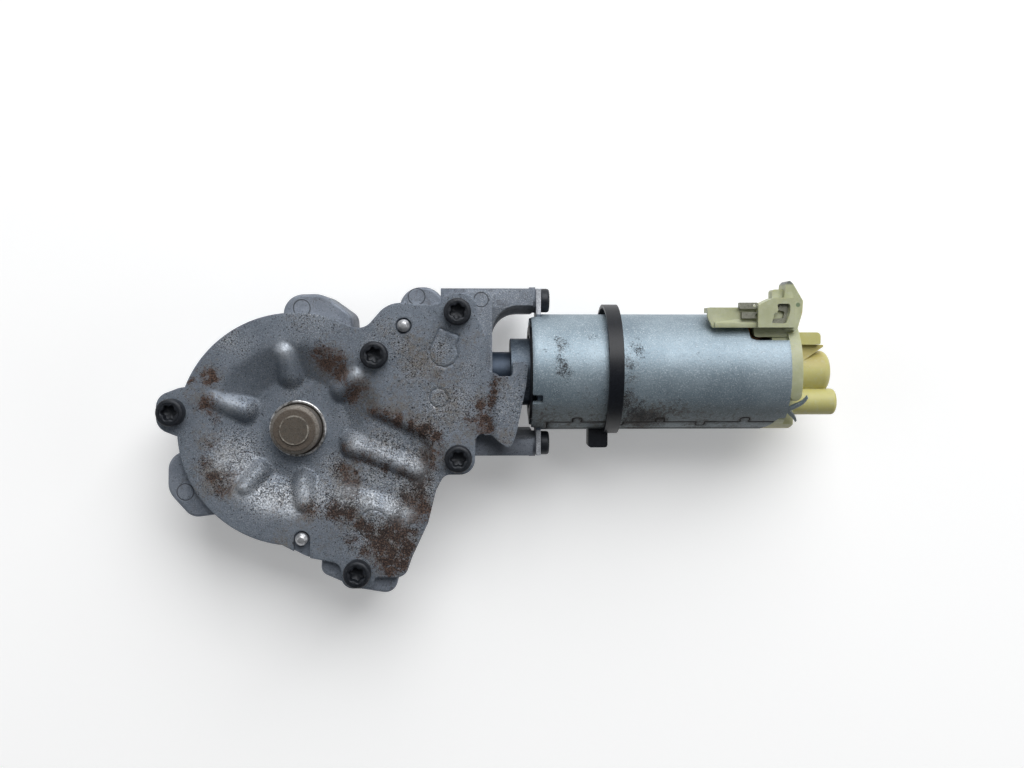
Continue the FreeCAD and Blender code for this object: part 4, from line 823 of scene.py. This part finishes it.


# where flakes of dark lacquer and brown grime lie on the can's upper side, the grime marks along its lower
# edge also painted shade, as for the cover
canPicks = [
    ("flake", can["radius"], [
        (558, 340, 4.5, 0.8), (561, 346, 4.5, 0.8), (565, 343, 5, 0.7), (558, 352, 4.5, 0.5),
        (561, 361, 4.5, 0.9), (564, 368, 6, 1.0), (560, 373, 5.5, 0.9), (568, 374, 6, 0.8),
        (566, 380, 5, 0.6), (552, 385, 5, 0.5), (557, 394, 5, 0.6), (562, 397, 5, 0.4), (551, 402, 5, 0.4),
        (605, 392, 4, 0.6), (632, 345, 5, 0.6), (638, 350, 6, 0.8), (637, 338, 4.5, 0.5),
        (641, 354, 5, 0.7), (630, 338, 4, 0.4), (634, 331, 4, 0.4), (626, 356, 5, 0.6), (631, 366, 6, 0.6),
        (630, 378, 6, 0.5), (628, 395, 7, 0.8), (625, 405, 8, 0.9), (633, 412, 8, 1.0), (642, 415, 8, 1.0),
        (652, 417, 8, 0.9), (640, 404, 6, 0.8), (638, 424, 6, 0.6), (650, 424, 6, 0.7), (662, 420, 7, 0.7),
        (627, 418, 7, 0.8), (680, 402, 3, 0.6), (672, 411, 5, 0.5), (596, 338, 5, 0.4), (700, 353, 6, 0.35),
        (710, 356, 5, 0.3), (740, 372, 5, 0.3), (762, 366, 4, 0.35), (545, 352, 4, 0.4),
        (549, 344, 3, 0.4)]),
    ("grimeAndShade", can["radius"], [
        (545, 420, 20, 0.6), (570, 424, 20, 0.5), (600, 424, 16, 0.6), (640, 420, 18, 0.95),
        (655, 416, 16, 0.85), (672, 410, 14, 0.6), (682, 412, 12, 0.6), (700, 424, 22, 0.55),
        (730, 426, 20, 0.5), (760, 422, 18, 0.4), (630, 365, 9, 0.5), (632, 380, 9, 0.5),
        (628, 400, 11, 0.8), (562, 368, 12, 0.4), (560, 345, 10, 0.3), (590, 400, 16, 0.45),
        (548, 405, 12, 0.35)]),
]
canSpots = {
    "flake": [(93.2, 29.4, 1.4, 0.5), (98.2, 32.0, 1.4, 0.5)],
    "grimeAndShade": [(101.0, 8.0, 4.0, 0.6)],
}


def canPaint():
    p = Paint("galvanised can")
    flakeLevel, grimeAndShadeLevel = p.attribute("flake"), p.attribute("grimeAndShade")
    ground = p.noise(0.07, 4, 0.6)
    grain = p.noise(2.0, 4, 0.8)
    sparkle = p.soft(p.noise(2.6, 3, 0.75, shift=11), 0.52, 0.66)
    shade = p.soft(p.noise(2.2, 3, 0.7, shift=14), 0.50, 0.64)
    color = p.mix(p.soft(ground, 0.3, 0.7), (0.215, 0.280, 0.330), (0.300, 0.375, 0.430))
    color = p.mix(sparkle * 0.5, color, (0.70, 0.76, 0.81))
    color = p.mix(shade * 0.35, color, (0.15, 0.19, 0.225))
    # painted shade: the can's side away from the light, at low y, is darkened
    low = p.soft(p.y, 11.5, 5.0)
    color = p.mix(low * 0.55, color, (0.105, 0.108, 0.095))
    # brown grime, and painted shade along the can's lower edge where its marks run
    grimeAndShade = p.soft(p.noise(0.8, 6, 0.8, 0.5, shift=6) + grimeAndShadeLevel * 0.34, 0.60, 0.84)
    color = p.mix(grimeAndShade * 0.85, color, (0.075, 0.062, 0.052))
    flake = p.soft(p.noise(1.5, 5, 0.8, 1.2, shift=2) + flakeLevel * 0.20 + grimeAndShadeLevel * 0.04, 0.645, 0.69)
    color = p.mix(flake * 0.9, color, (0.022, 0.023, 0.026))
    color = p.mix(p.attribute("seam") * 0.75, color, (0.040, 0.032, 0.026))
    dull = grimeAndShade + low * 0.4
    rough = 0.44 + p.soft(grain, 0.3, 0.8) * 0.14 + dull * 0.22 + flake * 0.1
    metal = 0.6 - dull * 0.3 - flake * 0.2
    height = grain * 0.6 + sparkle * 0.4 - flake * 0.9 + grimeAndShade * 0.3
    return p.shade(color, rough, metal, height, 0.5, 0.12)


# screws: one closed turned surface each, with a six-lobed recess

screw = {
    "cover": {"head": 4.35, "height": 4.2, "shank": 2.5, "length": 12.0, "socket": 2.25, "deep": 2.5},
    "motor": {"head": 3.9, "height": 3.0, "shank": 2.5, "length": 11.5, "socket": 1.9, "deep": 1.9},
    "around": 96, "lobe": 0.115,
    "motorPlaces": [(78.5, 41.5, 15.0), (78.5, -5.5, 15.0)],
}


def screwSurface(size):
    # radius of a recess row times (1 + lobe * cos(6 angle)); the head's and shank's rows are plain circles
    top, head, shank = size["height"], size["head"], size["shank"]
    socket, deep = size["socket"], size["deep"]
    rows = [(socket * 0.35, top - deep - 0.45, 0), (socket * 0.9, top - deep, 1),
            (socket * 0.97, top - deep + 0.25, 1), (socket, top - 0.35, 1), (socket * 1.05, top - 0.12, 1),
            (socket * 1.16, top, 0.6), (socket * 1.4, top, 0.1), (head * 0.70, top, 0),
            (head - 0.85, top - 0.02, 0),
            (head - 0.42, top - 0.14, 0), (head - 0.12, top - 0.42, 0), (head, top - 0.85, 0),
            (head, 1.0, 0), (head, 0.35, 0), (head - 0.1, 0.08, 0), (head - 0.3, 0, 0), (shank + 0.2, 0, 0),
            (shank, -0.2, 0), (shank, -size["length"] + 0.6, 0), (shank - 0.5, -size["length"], 0)]
    weight = np.array([row[2] for row in rows])[:, None]

    def lobed(radius, angle):
        return radius * (1 + weight * screw["lobe"] * np.cos(6 * angle))

    return lathe([row[:2] for row in rows], screw["around"], lobed)


def makeScrews(material):
    for kind, node in (("cover", "cover_screws"), ("motor", "motor_screws")):
        points, faces = screwSurface(screw[kind])
        if kind == "cover":
            places = [(x, y, cover["top"]) for x, y in cover["screws"]]
        else:
            points = np.column_stack([points[:, 2], points[:, 1], -points[:, 0]])
            places = screw["motorPlaces"]
        for number, place in enumerate(places):
            spin = number * 0.7
            turned = points.copy()
            if kind == "cover":
                turned[:, 0] = points[:, 0] * math.cos(spin) - points[:, 1] * math.sin(spin)
                turned[:, 1] = points[:, 0] * math.sin(spin) + points[:, 1] * math.cos(spin)
            piece = putMesh(f"{kind}_screw_{number + 1}", turned + place, faces, material,
                            smooth=38)
            if number == 0:
                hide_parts(node)


def screwPaint():
    p = Paint("blackened screw")
    grain = p.noise(2.2, 4, 0.7)
    dust = p.soft(p.noise(1.0, 5, 0.7, 0.3, shift=5), 0.55, 0.78)
    color = p.mix(p.soft(grain, 0.3, 0.7), (0.008, 0.010, 0.014), (0.022, 0.026, 0.034))
    color = p.mix(dust * 0.5, color, (0.10, 0.095, 0.09))
    rough = 0.38 + grain * 0.18 + dust * 0.2
    return p.shade(color, rough, 0.35 - dust * 0.25, grain, 0.35, 0.06)


# output shaft, collar and pins

def shaftPaint():
    p = Paint("output shaft")
    away = p.away()
    grain = p.noise(1.9, 5, 0.75)
    rings = p.noise(1.0, 3, 0.6, at=p.node("ShaderNodeCombineXYZ", {}, {0: away * 6.0, 1: p.z * 0.4}))
    dirt = p.soft(p.noise(0.9, 5, 0.8, 0.5, shift=3), 0.40, 0.64)
    color = p.mix(p.soft(grain, 0.3, 0.7), (0.105, 0.092, 0.082), (0.27, 0.25, 0.225))
    disc = p.soft(away, 4.7, 4.5)
    color = p.mix(disc * 0.7, color, (0.075, 0.064, 0.050))
    # painted highlight: a bright ring on the edge of the raised centre disc, broken by noise
    rim = p.soft((away - 4.45).calc("ABSOLUTE"), 0.3, 0.1)
    rim = rim * p.soft(p.noise(0.35, 3, 0.6, shift=15), 0.42, 0.6)
    color = p.mix(rim * 0.7, color, (0.55, 0.52, 0.46))
    ringDirt = p.soft(away, 4.6, 5.0) * p.soft(away, 7.4, 6.5)
    color = p.mix(ringDirt * 0.6, color, (0.070, 0.050, 0.034))
    bevel = p.soft(away, 6.5, 7.0) * p.soft(away, 7.9, 7.6)
    color = p.mix(bevel * 0.55, color, (0.40, 0.375, 0.34))
    color = p.mix(dirt * 0.6, color, (0.085, 0.062, 0.044))
    color = p.mix(p.soft(p.noise(2.4, 3, 0.65, shift=8), 0.60, 0.67) * 0.85, color, (0.030, 0.022, 0.017))
    rough = 0.40 + dirt * 0.3 + rings * 0.1
    metal = 0.65 - dirt * 0.4 - ringDirt * 0.2 - disc * 0.2
    return p.shade(color, rough, metal, grain + rings * 0.8, 0.45, 0.1)


def collarPaint():
    # the bush in the cover: a polished rim round a dark, greasy inside
    p = Paint("polished collar")
    away = p.away()
    rim = p.soft(away, 8.35, 8.6)
    worn = p.soft(p.noise(0.7, 4, 0.7, shift=4), 0.36, 0.56)
    bright = p.mix(worn, (0.20, 0.19, 0.18), (0.74, 0.74, 0.75))
    color = p.mix(rim, (0.028, 0.024, 0.020), bright)
    return p.shade(color, 0.55 - rim * 0.27, rim * 0.85, p.noise(2.5, 4, 0.7), 0.3, 0.05)


# end cap: pale moulded plastic that lets a little light in

def capPaint():
    p = Paint("pale moulded plastic")
    cloud = p.noise(0.14, 4, 0.6)
    fleck = p.soft(p.noise(1.3, 4, 0.75, shift=3), 0.62, 0.70)
    scuff = p.soft(p.noise(0.5, 4, 0.7, 0.5, shift=13), 0.5, 0.68)
    color = p.mix(p.soft(cloud, 0.3, 0.7), (0.385, 0.405, 0.245), (0.465, 0.485, 0.325))
    # the bearing's dome, the boss and the thick blocks are yellower; lower down a painted amber shade,
    # partly the thick plastic's own colour
    bell = p.soft(p.x, 160.4, 162.0)
    color = p.mix(bell * 0.8, color, (0.58, 0.55, 0.205))
    deep = p.soft(p.z, 27.5, 17.0)
    color = p.mix(deep * 0.5, color, (0.46, 0.39, 0.115))
    # painted shade: the gusset's lower part in darker amber
    gussetShade = p.soft(p.x, 160.6, 161.4) * p.soft(p.x, 173.0, 171.0)
    gussetShade = gussetShade * p.soft(p.y, 18.5, 19.8) * p.soft(p.z, 22.5, 21.0)
    color = p.mix(gussetShade * 0.6, color, (0.42, 0.34, 0.095))
    key = p.soft(p.y, 4.6, 3.6) * p.soft(p.z, 25.0, 20.0)
    color = p.mix(key * 0.6, color, (0.30, 0.27, 0.10))
    color = p.mix(scuff * 0.28, color, (0.52, 0.54, 0.42))
    color = p.mix(fleck * 0.35, color, (0.20, 0.18, 0.09))
    tip = p.soft(p.y, 45.6, 46.6) * p.soft(p.x, 154.0, 155.0)
    color = p.mix(tip * 0.85, color, (0.07, 0.085, 0.10))
    color = p.mix(p.soft(p.away(159.6, 39.6), 0.9, 0.5) * 0.7, color, (0.03, 0.10, 0.045))
    rough = 0.38 + p.noise(0.9, 3, 0.6) * 0.16 + scuff * 0.08
    depth = {"Subsurface Weight": 0.22, "Subsurface Radius": (1.0, 0.85, 0.35), "Subsurface Scale": 0.0016,
             "IOR": 1.5}
    return p.shade(color, rough, 0.0, p.noise(0.9, 4, 0.65) + fleck * -0.3, 0.25, 0.12, others=depth)


def endPlatePaint():
    # painted shade: the cup and disc are painted dark, darkest at the front, and the ears keep the plate's
    # bright bare metal
    p = Paint("end plate")
    across = (p.y - motorY).calc("ABSOLUTE")
    ear = p.soft(across, 18.6, 19.2)
    grain = p.noise(2.2, 4, 0.7)
    scuff = p.soft(p.noise(0.6, 5, 0.75, 0.4, shift=5), 0.48, 0.66)
    frontShade = p.soft(p.x, 68.9, 68.2)
    shadedCup = p.mix(p.soft(grain, 0.35, 0.7), (0.048, 0.066, 0.092), (0.105, 0.135, 0.170))
    shadedCup = p.mix(scuff * 0.4, shadedCup, (0.22, 0.26, 0.30))
    shadedCup = p.mix(frontShade * 0.8, shadedCup, (0.022, 0.036, 0.062))
    color = p.mix(ear, shadedCup, p.mix(p.soft(grain, 0.4, 0.7), (0.38, 0.40, 0.44), (0.66, 0.68, 0.71)))
    return p.shade(color, 0.36 + grain * 0.16 + scuff * 0.1, 0.5 + ear * 0.2, grain, 0.35, 0.08)


# the black ring between the bearing cup and the can, in the cable tie's black finish; it is also a painted
# shadow, standing in for the deep shade there

seal = {"inner": 12.2, "outer": 15.6, "start": 74.7, "end": 75.9, "round": 0.5, "around": 96}


def makeSeal(material):
    # a rounded rectangle (distance from the motor's axis, place along it) turned once round that axis
    a, b, c, d, r = seal["inner"], seal["outer"], seal["start"], seal["end"], seal["round"]
    section = roundedLoop([(a, c, 0.1), (b, c, r), (b, d, r), (a, d, 0.1)], 0.4)
    turn = np.linspace(0, 2 * np.pi, seal["around"], endpoint=False)
    far, along = section.T
    points = np.stack([np.repeat(along[:, None], len(turn), 1), motorY + far[:, None] * np.sin(turn),
                       motorZ + far[:, None] * np.cos(turn)], -1).reshape(-1, 3)
    quads = gridQuads(len(section), len(turn), True)
    putMesh("seal_ring", points, quads, material, smooth=50)


# plain finishes, shared by the pieces inside and the small ones outside
# slot: two colours, metallic, roughness, grain per millimetre, bump

finishes = {
    "turned_steel": ((0.40, 0.41, 0.43), (0.52, 0.53, 0.55), 0.85, 0.30, 3.0, 0.12),
    "sintered_bronze": ((0.30, 0.19, 0.09), (0.42, 0.28, 0.14), 0.8, 0.48, 5.0, 0.3),
    "gear_steel": ((0.26, 0.27, 0.28), (0.38, 0.39, 0.40), 0.85, 0.36, 2.5, 0.2),
    "spring_steel": ((0.20, 0.21, 0.23), (0.30, 0.31, 0.33), 0.85, 0.34, 3.0, 0.12),
    "gear_plastic": ((0.55, 0.52, 0.42), (0.66, 0.63, 0.52), 0.0, 0.45, 1.5, 0.15),
    "core_steel": ((0.13, 0.14, 0.15), (0.22, 0.23, 0.24), 0.8, 0.42, 4.0, 0.25),
    "copper_wire": ((0.34, 0.11, 0.04), (0.55, 0.22, 0.09), 0.75, 0.33, 2.2, 0.35),
    "copper_bar": ((0.48, 0.22, 0.11), (0.62, 0.31, 0.17), 0.9, 0.30, 3.0, 0.12),
    "dark_steel": ((0.075, 0.090, 0.115), (0.13, 0.15, 0.18), 0.6, 0.42, 2.2, 0.25),
    "ferrite": ((0.045, 0.045, 0.048), (0.075, 0.075, 0.08), 0.1, 0.6, 4.0, 0.3),
    "brush_board": ((0.16, 0.085, 0.035), (0.22, 0.12, 0.05), 0.0, 0.6, 2.0, 0.2),
    "carbon": ((0.02, 0.02, 0.022), (0.04, 0.04, 0.045), 0.1, 0.55, 4.0, 0.3),
    "tinned_brass": ((0.17, 0.175, 0.135), (0.30, 0.30, 0.25), 0.5, 0.42, 2.5, 0.25),
    "pin_steel": ((0.45, 0.46, 0.48), (0.62, 0.63, 0.65), 0.8, 0.30, 3.0, 0.15),
}


def plainPaint(name):
    first, second, metallic, roughness, grain, bump = finishes[name]
    p = Paint(name)
    noise = p.noise(grain, 4, 0.65)
    cloud = p.noise(grain * 0.12, 3, 0.6)
    color = p.mix(p.soft(noise * 0.5 + cloud * 0.5, 0.38, 0.62), first, second)
    dark = p.soft(p.noise(grain * 0.6, 4, 0.7, shift=4), 0.62, 0.72)
    color = p.mix(dark * 0.4, color, tuple(c * 0.4 for c in first))
    return p.shade(color, roughness + noise * 0.12 + dark * 0.1, metallic, noise, bump, 0.05)


def tiePaint():
    p = Paint("black nylon")
    grain = p.noise(1.6, 3, 0.6)
    dust = p.soft(p.noise(0.7, 5, 0.7, shift=2), 0.55, 0.75)
    color = p.mix(p.soft(grain, 0.3, 0.7), (0.004, 0.005, 0.008), (0.009, 0.011, 0.016))
    color = p.mix(dust * 0.2, color, (0.035, 0.037, 0.042))
    rough = 0.34 + grain * 0.12 + dust * 0.1
    return p.shade(color, rough, 0.0, grain, 0.2, 0.05, others={"Specular IOR Level": 0.32})


def floorPaint():
    # what the camera and reflections see is lifted to the photo's white; the light the floor gives off isn't
    p = Paint("pale floor")
    kinds = ("Camera", "Glossy", "Transmission")
    path = [p.node("ShaderNodeLightPath", {}, {}, f"Is {kind} Ray") for kind in kinds]
    seen = p.node("ShaderNodeMath", {"operation": "MINIMUM"}, {0: path[0] + path[1] + path[2], 1: 1.0})
    color = p.mix(p.noise(0.02, 2, 0.5), tuple(c * 0.99 for c in light["floorColor"]), light["floorColor"])
    values = {"Base Color": color, "Roughness": 0.9, "Specular IOR Level": 0.1}
    plain = p.node("ShaderNodeBsdfPrincipled", {}, values, "BSDF")
    glow = {"Emission Color": (1.0, 1.0, 1.0), "Emission Strength": light["floorLift"]}
    lifted = p.node("ShaderNodeBsdfPrincipled", {}, {**values, **glow}, "BSDF")
    both = p.node("ShaderNodeMixShader", {}, {0: seen, 1: plain, 2: lifted}, "Shader")
    end = p.tree.nodes.new("ShaderNodeOutputMaterial")
    p.tree.links.new(both.socket, end.inputs["Surface"])
    return p.material


def makeFloor():
    half = light["floorSize"] / 2
    z = light["floorHeight"]
    mesh = bpy.data.meshes.new("floor")
    corners = ((-half, -half), (half, -half), (half, half), (-half, half))
    mesh.from_pydata([(x * mm, y * mm, z * mm) for x, y in corners], [], [(0, 1, 2, 3)])
    mesh.materials.append(floorPaint())
    floor = bpy.data.objects.new("floor", mesh)
    bpy.context.scene.collection.objects.link(floor)


makeFloor()
makeCoverSheet(coverPaint())
print("cover made")
dressNode("gearbox_housing", "root", housingPaint(), 0.45, 2)
print("housing made")
galvanised = canPaint()
makeCan(galvanised)
makeProngs(galvanised)
print("can made")
makeScrews(screwPaint())
dressNode("output_shaft", "output", shaftPaint(), 0.15, 2)
dressNode("front_bushing", "root", collarPaint(), 0.3, 2)
dressNode("dowel_pins", "root", plainPaint("pin_steel"), 0.2, 2)
dressNode("motor_end_plate", "root", endPlatePaint(), 0.3, 2)
dressNode("end_cap", "root", capPaint(), 0.25, 2)
nylon = tiePaint()
dressNode("cable_tie", "root", nylon, 0.3, 2)
makeSeal(nylon)
print("small pieces made")

kept = {slot: plainPaint(slot) for slot in finishes if slot != "pin_steel"}
for row in frame["record"]["subparts"]:
    mesh = nodes[row["node"]].data
    if not nodes[row["node"]].hide_render and row["material_slot"] in kept:
        mesh.materials.clear()
        mesh.materials.append(kept[row["material_slot"]])
print("finishes given")
